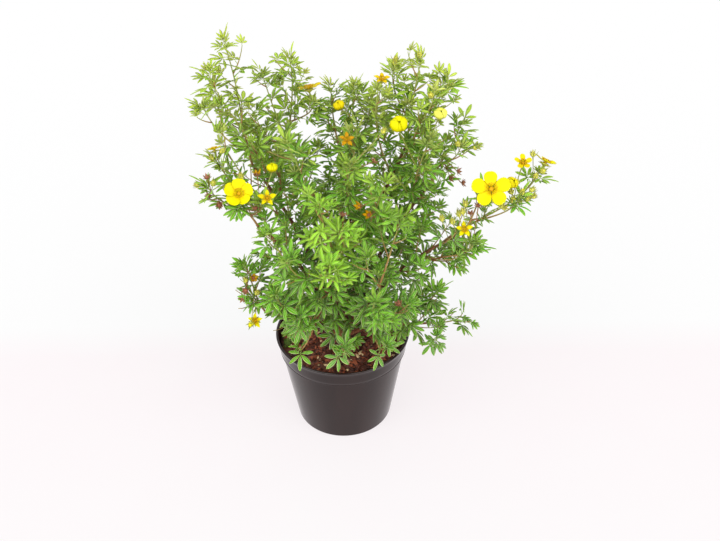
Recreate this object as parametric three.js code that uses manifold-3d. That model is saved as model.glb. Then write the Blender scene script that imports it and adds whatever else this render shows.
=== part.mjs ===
// A potted shrubby cinquefoil: nursery pot, growing medium, woody canes, leafy sprays and blooms.
// Millimetres, +Z up. The origin is the middle of the pot's foot, on the surface where it stands.
// The shrub is seen from -Y, with +X to the right.
import * as THREE from "three";
import { mergeVertices } from "three/addons/utils/BufferGeometryUtils.js";
import Module from "manifold-3d";

const wasm = await Module();
wasm.setup();

const DEGREE = Math.PI / 180;
const UP = new THREE.Vector3(0, 0, 1);
const EAST = new THREE.Vector3(1, 0, 0);

// A gap that keeps neighbouring pieces apart, and the longest edge that a join may leave behind.
const GAP = 0.35;
const SLIVER = 0.02;

// The pot is a thin-walled 17 cm nursery pot with a deep collar and a rolled lip.
const POT = {
  sides: 32,
  height: 130,
  lipRadius: 85,
  lipDepth: 3,
  collarFootHeight: 106,
  collarFootRadius: 80.5,
  wallTopRadius: 79,
  footRadius: 62.5,
  footEdge: 1.5,
  wall: 1.7,
  floor: 2,
  drainRadius: 5,
  drainRing: 44,
  drains: 6,
};

// The growing medium fills the pot to just under the collar's lip, with a lumpy top.
const MEDIUM = { level: 118, lump: 1.5, rings: 3 };

// The crown is the woody stump at the middle of the pot that every cane springs from.
const CROWN = { foot: 92, shoulder: 122, top: 128, radius: 9.5, sides: 9, ring: 4.5 };

// Canes run from the crown to these ends and thin out on the way, in a few straight steps.
const STEM_STEPS = 4;
const CANE = { sides: 5, baseRadius: 3, endRadius: 1.5 };
const CANE_ENDS = {
  left_tall: [-100, 38, 345],
  left_low: [-92, -22, 300],
  left_lower: [-85, -50, 195],
  back_left: [-60, 85, 340],
  back_mid: [2, 78, 340],
  back_right: [78, 60, 355],
  back_low: [-35, 95, 235],
  side_low: [72, 88, 225],
  centre: [12, -8, 300],
  right: [105, 36, 315],
  far_right: [138, -35, 295],
  front: [-14, -76, 248],
  front_right: [48, -70, 236],
  right_low: [95, -38, 168],
};

// Shoots are green stems. The first of a spray is the main one, and the others fork from it.
const SHOOT = { sides: 3, baseRadius: 1.5, forkRadius: 1.3, tipRadius: 1, fork: 0.35 };

// Each spray names its cane, how far along it leaves, and where its shoots end.
const SPRAYS = [
  { name: "tall_crown", cane: "left_tall", at: 1, tips: [[-123, 68, 480]] },
  { name: "tall_outer", cane: "left_tall", at: 0.86, tips: [[-140, 40, 458], [-145, 22, 424]] },
  { name: "tall_inner", cane: "left_tall", at: 0.76, tips: [[-95, 50, 408]] },
  { name: "tall_low", cane: "left_tall", at: 0.64, tips: [[-131, 12, 398]] },
  { name: "left_bloom", cane: "left_low", at: 1, tips: [[-112, -24, 340], [-84, -38, 338]] },
  { name: "left_side", cane: "left_low", at: 0.86, tips: [[-136, 2, 374], [-143, -18, 348]] },
  { name: "left_front", cane: "left_low", at: 0.7, tips: [[-78, -62, 310]] },
  { name: "lower_left", cane: "left_lower", at: 1, tips: [[-108, -44, 260], [-99, -62, 230]] },
  { name: "lower_front", cane: "left_lower", at: 0.7, tips: [[-70, -86, 246]] },
  { name: "back_left_tip", cane: "back_left", at: 1, tips: [[-55, 108, 443], [-30, 88, 400]] },
  { name: "back_left_outer", cane: "back_left", at: 0.86, tips: [[-88, 100, 434], [-103, 66, 384]] },
  { name: "back_left_low", cane: "back_left", at: 0.62, tips: [[-98, 96, 322]] },
  { name: "centre_left", cane: "centre", at: 0.84, tips: [[-54, 2, 388]] },
  { name: "centre_tip", cane: "centre", at: 1, tips: [[14, -16, 372], [22, 30, 392]] },
  { name: "centre_right", cane: "centre", at: 0.72, tips: [[50, -56, 372]] },
  { name: "centre_front", cane: "centre", at: 0.58, tips: [[-18, -84, 366], [4, -94, 340]] },
  { name: "back_mid_left", cane: "back_mid", at: 1, tips: [[-9, 112, 408]] },
  { name: "back_mid_right", cane: "back_mid", at: 0.88, tips: [[18, 94, 416], [38, 84, 398]] },
  { name: "back_mid_far", cane: "back_mid", at: 0.7, tips: [[12, 130, 330]] },
  { name: "back_right_tip", cane: "back_right", at: 1, tips: [[94, 70, 456], [64, 88, 440]] },
  { name: "back_right_inner", cane: "back_right", at: 0.82, tips: [[46, 56, 430]] },
  { name: "back_right_outer", cane: "back_right", at: 0.9, tips: [[124, 50, 440], [106, 26, 432]] },
  { name: "back_right_low", cane: "back_right", at: 0.6, tips: [[104, 104, 350]] },
  { name: "right_outer", cane: "right", at: 1, tips: [[142, 58, 386], [138, 30, 366]] },
  { name: "right_inner", cane: "right", at: 0.84, tips: [[102, 12, 390]] },
  { name: "right_back", cane: "right", at: 0.66, tips: [[124, 88, 300]] },
  { name: "far_bloom", cane: "far_right", at: 1, tips: [[160, -22, 342], [166, -12, 306]] },
  { name: "far_tip", cane: "far_right", at: 0.86, tips: [[226, 6, 348], [200, -22, 330]] },
  { name: "far_low", cane: "far_right", at: 0.7, tips: [[134, -30, 262], [150, -50, 290]] },
  { name: "front_mid", cane: "front", at: 1, tips: [[-9, -110, 304]] },
  { name: "front_left", cane: "front", at: 0.8, tips: [[-54, -92, 298]] },
  { name: "front_low", cane: "front", at: 0.6, tips: [[-46, -98, 226], [-48, -96, 180]] },
  { name: "front_rim", cane: "front", at: 0.42, tips: [[4, -104, 180]] },
  { name: "front_right_tip", cane: "front_right", at: 1, tips: [[30, -92, 300], [68, -64, 334]] },
  { name: "front_right_low", cane: "front_right", at: 0.74, tips: [[38, -102, 248], [76, -84, 226]] },
  { name: "front_right_rim", cane: "front_right", at: 0.5, tips: [[50, -96, 180]] },
  { name: "right_low_tip", cane: "right_low", at: 1, tips: [[148, -22, 170], [114, -56, 158]] },
  { name: "right_low_upper", cane: "right_low", at: 0.76, tips: [[114, -24, 204]] },
  { name: "back_low_left", cane: "back_low", at: 1, tips: [[-72, 114, 286], [-52, 126, 214]] },
  { name: "back_low_mid", cane: "back_low", at: 0.7, tips: [[2, 122, 246]] },
  { name: "side_low_tip", cane: "side_low", at: 1, tips: [[70, 124, 286], [112, 92, 232]] },
];

// A leaf has five narrow leaflets round one hub, and the youngest at a tip has three.
// Angles are from the leaf's own heading.
const FULL_LEAF = [
  { angle: -100, length: 15, width: 5 },
  { angle: -48, length: 18, width: 5.4 },
  { angle: 0, length: 21, width: 5.8 },
  { angle: 48, length: 18, width: 5.4 },
  { angle: 100, length: 15, width: 5 },
];
const YOUNG_LEAF = [
  { angle: -55, length: 14, width: 4.6 },
  { angle: 0, length: 18, width: 5 },
  { angle: 55, length: 14, width: 4.6 },
];
const LEAF = {
  widest: 0.5,
  notch: 1.9,
  rib: 0.6,
  fold: 0.8,
  droop: 0.1,
  petioleHalfWidth: 0.55,
  petioleFoot: 0.25,
  petioleShortest: 5,
  petioleLongest: 10,
  smallest: 0.85,
  largest: 1.12,
  lowest: 0.5,
  tries: 20,
};

// Leaves stand round a stem by the golden turn, tight at the tip and looser below.
const GOLDEN_TURN = 137.5 * DEGREE;
const LEAF_BACK = [2, 7, 15, 36];
const LEAF_LIFT = [24, 50, 62, 60];
const LEAVES_ON_MAIN = 4;
const LEAVES_ON_FORK = 2;

// Each row is a bloom: its name, spray and shoot, how far along its stalk leaves, where its
// heart lies, which way it faces, how wide it is and how far it cups.
// The narrow ones have curled, older petals.
const BLOOM_ROWS = [
  ["far_large", "far_bloom", 0, 0.7, [166, -38, 354], [-2, -15, 13], 42, 0.1],
  ["far_half", "far_bloom", 0, 0.85, [188, -22, 350], [6, -8, 14], 19, 0.6],
  ["far_edge", "far_tip", 0, 0.8, [234, 14, 358], [8, 5, 17], 30, 0.25],
  ["far_orange", "far_tip", 0, 0.66, [206, 2, 364], [0, -8, 17], 22, 0.3],
  ["far_star", "far_low", 1, 0.7, [139, -46, 308], [-2, -14, 14], 20, 0.15],
  ["left_large", "left_bloom", 0, 0.7, [-107, -38, 352], [2, -13, 15], 34, 0.35],
  ["left_star", "left_bloom", 1, 0.7, [-77, -38, 346], [2, -14, 14], 21, 0.15],
  ["left_half", "left_bloom", 1, 0.5, [-73, -8, 364], [2, -4, 18], 16, 1.1],
  ["left_edge", "left_side", 0, 0.8, [-136, 4, 384], [-4, 6, 19], 19, 0.25],
  ["right_cup", "right_inner", 0, 0.6, [66, 8, 408], [1, -14, 14], 25, 0.55],
  ["right_pale", "right_inner", 0, 0.8, [112, 20, 414], [2, -12, 16], 19, 0.9],
  ["back_edge", "back_left_tip", 1, 0.7, [-34, 90, 418], [-3, 4, 19], 31, 0.15],
  ["back_orange", "back_right_inner", 0, 0.75, [50, 60, 440], [2, -6, 18], 20, 0.15],
  ["back_half", "back_mid_right", 1, 0.6, [2, 62, 406], [-4, -8, 16], 17, 0.8],
  ["centre_faded", "centre_tip", 1, 0.7, [10, 16, 388], [2, -12, 16], 19, 0.15],
  ["lower_star", "lower_left", 1, 0.8, [-97, -82, 211], [-2, -14, 14], 19, 0.15],
];
const NARROW_BLOOMS = ["far_star", "left_star", "back_orange", "centre_faded", "lower_star"];
const BLOOMS = BLOOM_ROWS.map(([name, spray, shoot, from, at, faces, size, cup]) => {
  return { name, spray, shoot, from, at, faces, size, cup, narrow: NARROW_BLOOMS.includes(name) };
});
const PETAL = {
  count: 5,
  heart: 0.7,
  notch: 0.42,
  narrowNotch: 0.34,
  bossRadius: 0.17,
  bossHeight: 0.1,
  calyxReach: 0.2,
  calyxDepth: 0.14,
};
// Petal outlines as turns from the petal's middle and shares of its reach.
const BROAD_PETAL = [[-29, 0.7], [-18, 0.95], [0, 1], [18, 0.95], [29, 0.7]];
const SMALL_PETAL = [[-25, 0.85], [0, 1], [25, 0.85]];
const NARROW_PETAL = [[-13, 0.55], [0, 1], [13, 0.55]];
const BROAD_FROM = 30;

// Buds and spent heads stand on stalks round a shoot's tip.
// Each entry names a spray, its shoot, and how many there are.
const BUDS = [
  ["far_tip", 0, 2],
  ["far_tip", 1, 2],
  ["far_bloom", 1, 2],
  ["left_side", 1, 2],
  ["left_side", 0, 1],
  ["left_bloom", 0, 1],
  ["lower_left", 1, 2],
  ["back_right_tip", 1, 1],
  ["back_right_outer", 1, 1],
  ["right_outer", 1, 2],
];
const BUD = { radius: 3.1, height: 6.5, foot: 0.35, neck: 0.6, shortest: 11, longest: 19, lift: 42 };

// Distances that keep blades clear of other growth.
const CLEAR = { blade: 3.3, petiole: 0.9, ownBlade: 0.75, stem: 0.7, rimRadius: 95, rimHeight: 137 };

function vector(x, y, z) {
  return new THREE.Vector3(x, y, z);
}

// A repeatable stream of numbers from 0 to 1.
function seededRandom(seed) {
  let state = seed >>> 0;
  return () => {
    state = (state + 0x6d2b79f5) >>> 0;
    let mixed = state;
    mixed = Math.imul(mixed ^ (mixed >>> 15), mixed | 1);
    mixed ^= mixed + Math.imul(mixed ^ (mixed >>> 7), mixed | 61);
    return ((mixed ^ (mixed >>> 14)) >>> 0) / 4294967296;
  };
}

// A unit vector square to a heading.
function acrossOf(heading) {
  const guide = Math.abs(heading.x) < 0.8 ? EAST : UP;
  return heading.clone().cross(guide).normalize();
}

// The part of a vector that is square to a unit heading, as a unit vector.
function squareTo(heading, wanted) {
  return wanted.clone().addScaledVector(heading, -wanted.dot(heading)).normalize();
}

// A closed mesh of points and triangles, turned so that its faces point out.
function closedGeometry(points, triangles) {
  let volume = 0;
  for (const [a, b, c] of triangles) {
    volume += points[a].dot(points[b].clone().cross(points[c]));
  }
  const outward = volume > 0 ? triangles : triangles.map(([a, b, c]) => [a, c, b]);
  const geometry = new THREE.BufferGeometry();
  geometry.setFromPoints(points);
  geometry.setIndex(outward.flat());
  return geometry;
}

// A solid from a closed geometry, without its collapsed triangles.
function toSolid(source) {
  const geometry = source.clone();
  geometry.deleteAttribute("normal");
  geometry.deleteAttribute("uv");
  const merged = mergeVertices(geometry, 1e-4);
  const corners = merged.index.array;
  const kept = [];
  for (let i = 0; i < corners.length; i += 3) {
    const [a, b, c] = corners.slice(i, i + 3);
    if (a !== b && b !== c && c !== a) kept.push(a, b, c);
  }
  const vertProperties = new Float32Array(merged.attributes.position.array);
  const mesh = new wasm.Mesh({ numProp: 3, vertProperties, triVerts: new Uint32Array(kept) });
  return new wasm.Manifold(mesh);
}

function toGeometry(solid) {
  const mesh = solid.getMesh();
  const geometry = new THREE.BufferGeometry();
  geometry.setAttribute("position", new THREE.BufferAttribute(mesh.vertProperties, 3));
  geometry.setIndex(new THREE.BufferAttribute(mesh.triVerts, 1));
  return geometry;
}

// Rings of equally many points joined in order. A ring of one point is an apex.
function loftGeometry(rings) {
  const points = rings.flat();
  const triangles = [];
  let start = 0;
  for (let i = 0; i + 1 < rings.length; i++) {
    const near = rings[i].length;
    const far = rings[i + 1].length;
    const sides = Math.max(near, far);
    for (let k = 0; k < sides; k++) {
      const next = (k + 1) % sides;
      const a = start + (k % near);
      const b = start + (next % near);
      const c = start + near + (k % far);
      const d = start + near + (next % far);
      if (near > 1) triangles.push([a, b, d]);
      if (far > 1) triangles.push([a, d, c]);
    }
    start += near;
  }
  closeEnd(triangles, 0, rings[0].length, false);
  closeEnd(triangles, start, rings.at(-1).length, true);
  return closedGeometry(points, triangles);
}

function closeEnd(triangles, start, count, last) {
  for (let k = 1; k + 1 < count; k++) {
    const fan = [start, start + k, start + k + 1];
    triangles.push(last ? fan : fan.reverse());
  }
}

// A ring of points round a centre, square to a heading.
function ringAt(centre, heading, radius, sides, across = acrossOf(heading)) {
  const around = heading.clone().cross(across);
  const ring = [];
  for (let k = 0; k < sides; k++) {
    const turn = (2 * Math.PI * k) / sides;
    ring.push(
      centre
        .clone()
        .addScaledVector(across, radius * Math.cos(turn))
        .addScaledVector(around, radius * Math.sin(turn)),
    );
  }
  return ring;
}

// A tapered stem along a curve, in straight steps. It may end a little past the curve.
// Its rings keep one side level, so that it doesn't twist.
function stemGeometry(curve, baseRadius, endRadius, sides, past = 0) {
  const guide = curve.getPoint(1).sub(curve.getPoint(0)).cross(UP);
  const ringOn = (centre, heading, radius) =>
    ringAt(centre, heading, radius, sides, squareTo(heading, guide));
  const rings = [];
  for (let i = 0; i <= STEM_STEPS; i++) {
    const t = i / STEM_STEPS;
    const radius = baseRadius + (endRadius - baseRadius) * t;
    rings.push(ringOn(curve.getPoint(t), curve.getTangent(t), radius));
  }
  if (past > 0) {
    const heading = curve.getTangent(1);
    rings.push(ringOn(curve.getPoint(1).addScaledVector(heading, past), heading, endRadius));
  }
  return loftGeometry(rings);
}

// A place on the middle line of a stem in straight steps.
function onStem(curve, t) {
  const step = Math.min(Math.floor(t * STEM_STEPS), STEM_STEPS - 1);
  const near = curve.getPoint(step / STEM_STEPS);
  return near.lerp(curve.getPoint((step + 1) / STEM_STEPS), t * STEM_STEPS - step);
}

function latheGeometry(profile, sides) {
  const outline = profile.map(([radius, height]) => new THREE.Vector2(radius, height));
  return new THREE.LatheGeometry(outline, sides).rotateX(Math.PI / 2);
}

// The pot's outside runs from the foot up to the lip, and its inside back down to the floor.
function potProfile() {
  return [
    [0, 0],
    [POT.footRadius - POT.footEdge, 0],
    [POT.footRadius, POT.footEdge],
    [POT.wallTopRadius, POT.collarFootHeight],
    [POT.collarFootRadius, POT.collarFootHeight + 0.5],
    [POT.lipRadius - 0.6, POT.height - POT.lipDepth],
    [POT.lipRadius, POT.height - POT.lipDepth + 1],
    [POT.lipRadius - 0.5, POT.height],
    [POT.lipRadius - POT.lipDepth, POT.height],
    [POT.wallTopRadius - POT.wall, POT.collarFootHeight],
    [POT.footRadius - POT.wall, POT.floor],
    [0, POT.floor],
  ];
}

// Radius of the pot's inside at a height within its collar.
function collarInside(height) {
  const foot = POT.wallTopRadius - POT.wall;
  const share = (height - POT.collarFootHeight) / (POT.height - POT.collarFootHeight);
  return foot + (POT.lipRadius - POT.lipDepth - foot) * share;
}

function uprightCylinder(radius, low, high, sides, x = 0, y = 0) {
  const cylinder = new THREE.CylinderGeometry(radius, radius, high - low, sides);
  cylinder.rotateX(Math.PI / 2);
  return cylinder.translate(x, y, (low + high) / 2);
}

function makePot() {
  let pot = toSolid(latheGeometry(potProfile(), POT.sides));
  for (let i = 0; i < POT.drains; i++) {
    const turn = (2 * Math.PI * (i + 0.5)) / POT.drains;
    const x = POT.drainRing * Math.cos(turn);
    const y = POT.drainRing * Math.sin(turn);
    pot = pot.subtract(toSolid(uprightCylinder(POT.drainRadius, -1, POT.floor + 1, 8, x, y)));
  }
  return toGeometry(pot);
}

// Height of the lumps on top of the growing medium.
function lumpAt(x, y) {
  const coarse = Math.sin(0.21 * x + 0.9) * Math.cos(0.19 * y - 0.4);
  const fine = Math.sin(0.47 * x - 0.31 * y) * 0.6;
  return MEDIUM.lump * (coarse + fine);
}

function mediumProfile() {
  const profile = [
    [0, POT.floor + GAP],
    [POT.footRadius - POT.wall - GAP, POT.floor + GAP],
    [POT.wallTopRadius - POT.wall - GAP, POT.collarFootHeight],
  ];
  const topRadius = collarInside(MEDIUM.level) - GAP;
  for (let ring = MEDIUM.rings; ring >= 0; ring--) {
    profile.push([(topRadius * ring) / MEDIUM.rings, MEDIUM.level]);
  }
  return profile;
}

function makeMedium() {
  const geometry = latheGeometry(mediumProfile(), POT.sides);
  const position = geometry.attributes.position;
  for (let i = 0; i < position.count; i++) {
    const [x, y, z] = [position.getX(i), position.getY(i), position.getZ(i)];
    const atEdge = Math.hypot(x, y) > collarInside(MEDIUM.level) - 1;
    if (z > MEDIUM.level - 0.1 && !atEdge) position.setZ(i, MEDIUM.level + lumpAt(x, y));
  }
  const hole = uprightCylinder(CROWN.radius + GAP * 1.3, CROWN.foot - GAP, POT.height, 12);
  return toGeometry(toSolid(geometry).subtract(toSolid(hole)));
}

// A cane springs from the crown's top and leans out more and more towards its end.
function caneCurve(end) {
  const out = Math.hypot(end[0], end[1]);
  const start = vector((CROWN.ring * end[0]) / out, (CROWN.ring * end[1]) / out, CROWN.shoulder - 3);
  const run = vector(...end).sub(start);
  const rise = (level, height) =>
    vector(start.x + run.x * level, start.y + run.y * level, start.z + run.z * height);
  return new THREE.CubicBezierCurve3(start, rise(0.18, 0.42), rise(0.62, 0.8), vector(...end));
}

// Crown and canes as one growth. Extra thickness gives the room that others must leave it.
function makeWood(canes, extra) {
  const stump = latheGeometry(
    [
      [0, CROWN.foot - extra],
      [CROWN.radius - 1 + extra, CROWN.foot - extra],
      [CROWN.radius + extra, CROWN.shoulder],
      [CROWN.radius - 4 + extra, CROWN.top + extra],
      [0, CROWN.top + extra],
    ],
    CROWN.sides,
  );
  let wood = toSolid(stump);
  for (const curve of canes.values()) {
    const { baseRadius, endRadius, sides } = CANE;
    const cane = stemGeometry(curve, baseRadius + extra, endRadius + extra, sides, extra);
    wood = wood.add(toSolid(cane));
  }
  return wood;
}

// A shoot leaves its cane at a slant and turns up to its tip.
function shootCurve(parent, at, tip) {
  const start = onStem(parent, at);
  const along = parent.getTangent(at);
  const end = vector(...tip);
  const run = end.clone().sub(start);
  const length = run.length();
  const aside = squareTo(along, run);
  const sideways = at < 1 ? 0.85 : 0.35;
  const leave = along.clone().multiplyScalar(1 - 0.5 * sideways).addScaledVector(aside, sideways);
  const lean = vector(end.x, end.y, 0).normalize().multiplyScalar(0.35);
  const arrive = lean.add(UP).normalize();
  return new THREE.CubicBezierCurve3(
    start,
    start.clone().addScaledVector(leave.normalize(), 0.3 * length),
    end.clone().addScaledVector(arrive, -0.35 * length),
    end,
  );
}

// Points along a stem with their radii, which other growth keeps clear of.
function stemBalls(curve, radius, owner) {
  const count = Math.ceil(curve.getPoint(0).distanceTo(curve.getPoint(1)) / 5);
  const balls = [];
  for (let i = 0; i <= count; i++) {
    balls.push({ centre: curve.getPoint(i / count), radius: radius + CLEAR.stem, owner, stem: true });
  }
  return balls;
}

// Where one leaf stands: its foot on the stem, hub, heading and upper side.
function leafPose(curve, length, index, firstTurn, random) {
  const t = 1 - LEAF_BACK[index] / length;
  const foot = onStem(curve, t);
  const stem = curve.getTangent(t);
  const across = acrossOf(stem);
  const around = stem.clone().cross(across);
  const turn = firstTurn + index * GOLDEN_TURN + (random() - 0.5) * 1.4;
  const lift = LEAF_LIFT[index] * DEGREE + (random() - 0.5) * 0.4;
  const out = across.multiplyScalar(Math.cos(turn)).addScaledVector(around, Math.sin(turn));
  const reach = stem.clone().multiplyScalar(Math.cos(lift)).addScaledVector(out, Math.sin(lift));
  const petiole = LEAF.petioleShortest + (LEAF.petioleLongest - LEAF.petioleShortest) * random();
  const forward = reach.clone().addScaledVector(UP, -0.45 * random()).normalize();
  const facing = stem.clone().multiplyScalar(0.6).addScaledVector(UP, 0.7).addScaledVector(out, -0.25);
  const flat = squareTo(forward, facing);
  const roll = (random() - 0.5) * 1.0;
  const upper = flat
    .clone()
    .multiplyScalar(Math.cos(roll))
    .addScaledVector(forward.clone().cross(flat), Math.sin(roll));
  const size = LEAF.smallest + (LEAF.largest - LEAF.smallest) * random();
  const hub = foot.clone().addScaledVector(reach, petiole);
  const leaflets = index === 0 ? YOUNG_LEAF : FULL_LEAF;
  return { foot, hub, reach, forward, upper, side: forward.clone().cross(upper), size, leaflets };
}

// A point of a leaf, from its place across, along and above the blade.
function onLeaf(pose, across, along, above) {
  return pose.hub
    .clone()
    .addScaledVector(pose.side, across)
    .addScaledVector(pose.forward, along)
    .addScaledVector(pose.upper, above);
}

// Balls at the middle of the petiole and at three places along each leaflet.
function leafBalls(pose, owner) {
  const middle = pose.foot.clone().lerp(pose.hub, 0.6);
  const balls = [{ centre: middle, radius: CLEAR.petiole, owner, stem: true }];
  for (const { angle, length } of pose.leaflets) {
    for (const part of [0.3, 0.6, 0.9]) {
      const reach = length * pose.size * part;
      const x = Math.sin(angle * DEGREE) * reach;
      const y = Math.cos(angle * DEGREE) * reach;
      const centre = onLeaf(pose, x, y, -LEAF.droop * reach * part);
      balls.push({ centre, radius: CLEAR.blade, owner, stem: false });
    }
  }
  return balls;
}

function overRim(centre) {
  return Math.hypot(centre.x, centre.y) < CLEAR.rimRadius && centre.z < CLEAR.rimHeight;
}

// True where a leaf's balls are clear of the pot and of what grows there already.
function isClear(balls, taken) {
  for (const ball of balls) {
    if (overRim(ball.centre)) return false;
    for (const other of taken) {
      const own = other.owner === ball.owner;
      if (own && (other.stem || ball.stem)) continue;
      const share = own ? CLEAR.ownBlade : 1;
      const room = (ball.radius + other.radius) * share;
      if (ball.centre.distanceToSquared(other.centre) < room * room) return false;
    }
  }
  return true;
}

// The outline of one leaflet, and the notch that follows it.
function leafletOutline(pose, leaflet, next) {
  const { angle, length, width } = leaflet;
  const reach = length * pose.size;
  const sine = Math.sin(angle * DEGREE);
  const cosine = Math.cos(angle * DEGREE);
  const at = (along, across, above) =>
    onLeaf(pose, sine * along + cosine * across, cosine * along - sine * across, above);
  const half = (width * pose.size) / 2;
  const middle = reach * LEAF.widest;
  const bend = LEAF.fold - LEAF.droop * middle * 0.5;
  const outline = [
    at(middle, -half, bend),
    at(reach, 0, -LEAF.droop * reach),
    at(middle, half, bend),
  ];
  if (next) {
    const between = ((angle + next.angle) / 2) * DEGREE;
    const notch = LEAF.notch * pose.size;
    outline.push(onLeaf(pose, Math.sin(between) * notch, Math.cos(between) * notch, 0));
  }
  return outline;
}

// One leaf on its petiole: a ribbed blade cut to the hub between its leaflets.
function leafGeometry(pose) {
  const half = LEAF.petioleHalfWidth;
  const outline = [onLeaf(pose, -half, -half, 0)];
  pose.leaflets.forEach((leaflet, i) => {
    outline.push(...leafletOutline(pose, leaflet, pose.leaflets[i + 1]));
  });
  outline.push(onLeaf(pose, half, -half, 0));
  const count = outline.length;
  const top = count;
  const bottom = count + 1;
  const foot = count + 2;
  const below = pose.side.clone().cross(pose.reach).normalize();
  const points = [
    ...outline,
    onLeaf(pose, 0, 0, LEAF.rib),
    onLeaf(pose, 0, 0, -LEAF.rib),
    pose.foot.clone().addScaledVector(pose.side, -LEAF.petioleFoot),
    pose.foot.clone().addScaledVector(pose.side, LEAF.petioleFoot),
    pose.foot.clone().addScaledVector(below, -LEAF.petioleFoot),
  ];
  const triangles = [];
  for (let i = 0; i + 1 < count; i++) {
    triangles.push([top, i + 1, i], [bottom, i, i + 1]);
  }
  const left = 0;
  const right = count - 1;
  triangles.push([top, left, right]);
  triangles.push([left, foot, foot + 1], [left, foot + 1, right]);
  triangles.push([right, foot + 1, foot + 2], [right, foot + 2, bottom]);
  triangles.push([bottom, foot + 2, foot], [bottom, foot, left]);
  triangles.push([foot, foot + 2, foot + 1]);
  return closedGeometry(points, triangles);
}

// Leaves of one shoot, each drawn again until it stands clear.
function leafPoses(curve, count, owner, seed, taken) {
  const length = curve.getPoint(0).distanceTo(curve.getPoint(1));
  const firstTurn = seededRandom(seed)() * 2 * Math.PI;
  const poses = [];
  for (let index = 0; index < count && LEAF_BACK[index] < length * LEAF.lowest; index++) {
    const random = seededRandom(seed * 101 + index + 1);
    for (let attempt = 0; attempt < LEAF.tries; attempt++) {
      const pose = leafPose(curve, length, index, firstTurn, random);
      const balls = leafBalls(pose, owner);
      if (isClear(balls, taken)) {
        taken.push(...balls);
        poses.push(pose);
        break;
      }
    }
  }
  return poses;
}

// Stems of a spray with their widths.
function sprayStems(spray, canes) {
  const main = shootCurve(canes.get(spray.cane), spray.at, spray.tips[0]);
  return spray.tips.map((tip, i) => {
    if (i === 0) return { curve: main, radius: SHOOT.baseRadius };
    return { curve: shootCurve(main, SHOOT.fork, tip), radius: SHOOT.forkRadius };
  });
}

// Where a bloom stands: its heart, the way it faces, and two directions across its face.
function bloomPose(bloom) {
  const faces = vector(...bloom.faces).normalize();
  const across = acrossOf(faces);
  return { heart: vector(...bloom.at), faces, across, around: faces.clone().cross(across) };
}

function onBloom(pose, turn, reach, height) {
  return pose.heart
    .clone()
    .addScaledVector(pose.across, Math.cos(turn) * reach)
    .addScaledVector(pose.around, Math.sin(turn) * reach)
    .addScaledVector(pose.faces, height);
}

function petalShape(bloom) {
  if (bloom.narrow) return NARROW_PETAL;
  return bloom.size >= BROAD_FROM ? BROAD_PETAL : SMALL_PETAL;
}

// How high a cupped bloom's underside comes at the radius of its boss.
function undersideAtBoss(bloom, spread, shares) {
  const out = (bloom.size * PETAL.bossRadius) / spread;
  const heights = shares.map((share) => (bloom.cup * spread * share + PETAL.heart / share) * out);
  return Math.max(...heights) - PETAL.heart;
}

// Petals in one cupped disc, notched between them, with the stamens as a boss at the heart.
// Each petal's fan hangs on the boss's corners at the notches to its two sides.
function bloomGeometry(bloom) {
  const pose = bloomPose(bloom);
  const spread = bloom.size / 2 / Math.hypot(1, bloom.cup);
  const rise = bloom.cup * spread;
  const at = (turn, share) => onBloom(pose, turn, spread * share, rise * share * share);
  const notch = bloom.narrow ? PETAL.narrowNotch : PETAL.notch;
  const shape = petalShape(bloom);
  const points = [];
  for (let petal = 0; petal < PETAL.count; petal++) {
    const middle = (2 * Math.PI * petal) / PETAL.count;
    for (const [turn, share] of shape) points.push(at(middle + turn * DEGREE, share));
    points.push(at(middle + Math.PI / PETAL.count, notch));
  }
  const rim = points.length;
  const bottom = rim + PETAL.count;
  const top = bottom + 1;
  const shares = [notch, ...shape.map(([, share]) => share)];
  const shoulder = PETAL.heart + undersideAtBoss(bloom, spread, shares);
  for (let petal = 0; petal < PETAL.count; petal++) {
    const turn = (2 * Math.PI * (petal + 0.5)) / PETAL.count;
    points.push(onBloom(pose, turn, bloom.size * PETAL.bossRadius, shoulder));
  }
  points.push(onBloom(pose, 0, 0, -PETAL.heart));
  points.push(onBloom(pose, 0, 0, PETAL.heart + bloom.size * PETAL.bossHeight));
  const triangles = [];
  for (let i = 0; i < rim; i++) triangles.push([bottom, (i + 1) % rim, i]);
  for (let petal = 0; petal < PETAL.count; petal++) {
    const after = rim + petal;
    const before = rim + ((petal + PETAL.count - 1) % PETAL.count);
    const first = petal * (shape.length + 1);
    const tip = first + (shape.length - 1) / 2;
    for (let i = first - 1; i < tip; i++) triangles.push([before, (i + rim) % rim, i + 1]);
    for (let i = tip; i < first + shape.length; i++) triangles.push([after, i, i + 1]);
    triangles.push([before, tip, after], [before, after, top]);
  }
  return closedGeometry(points, triangles);
}

// A bloom's stalk widens into its calyx, which ends just behind the petals.
function calyxGeometry(bloom, curve) {
  const pose = bloomPose(bloom);
  const foot = onStem(curve, bloom.from);
  const back = PETAL.heart + GAP;
  const neck = onBloom(pose, 0, 0, -back - bloom.size * PETAL.calyxDepth);
  const run = neck.clone().sub(foot).normalize();
  const reach = Math.min(bloom.size, 30) * PETAL.calyxReach;
  return loftGeometry([
    ringAt(foot, run, BUD.foot, PETAL.count),
    ringAt(neck, run, BUD.neck, PETAL.count),
    alignedRing(pose, run, reach, -back),
  ]);
}

// A ring square to a bloom's face whose corners follow those of a ring round a stalk.
function alignedRing(pose, run, radius, height) {
  const centre = onBloom(pose, 0, 0, height);
  const guide = squareTo(pose.faces, acrossOf(run));
  const around = pose.faces.clone().cross(guide);
  return [0, 1, 2, 3, 4].map((k) => {
    const turn = (2 * Math.PI * k) / PETAL.count;
    return centre
      .clone()
      .addScaledVector(guide, Math.cos(turn) * radius)
      .addScaledVector(around, Math.sin(turn) * radius);
  });
}

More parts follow.
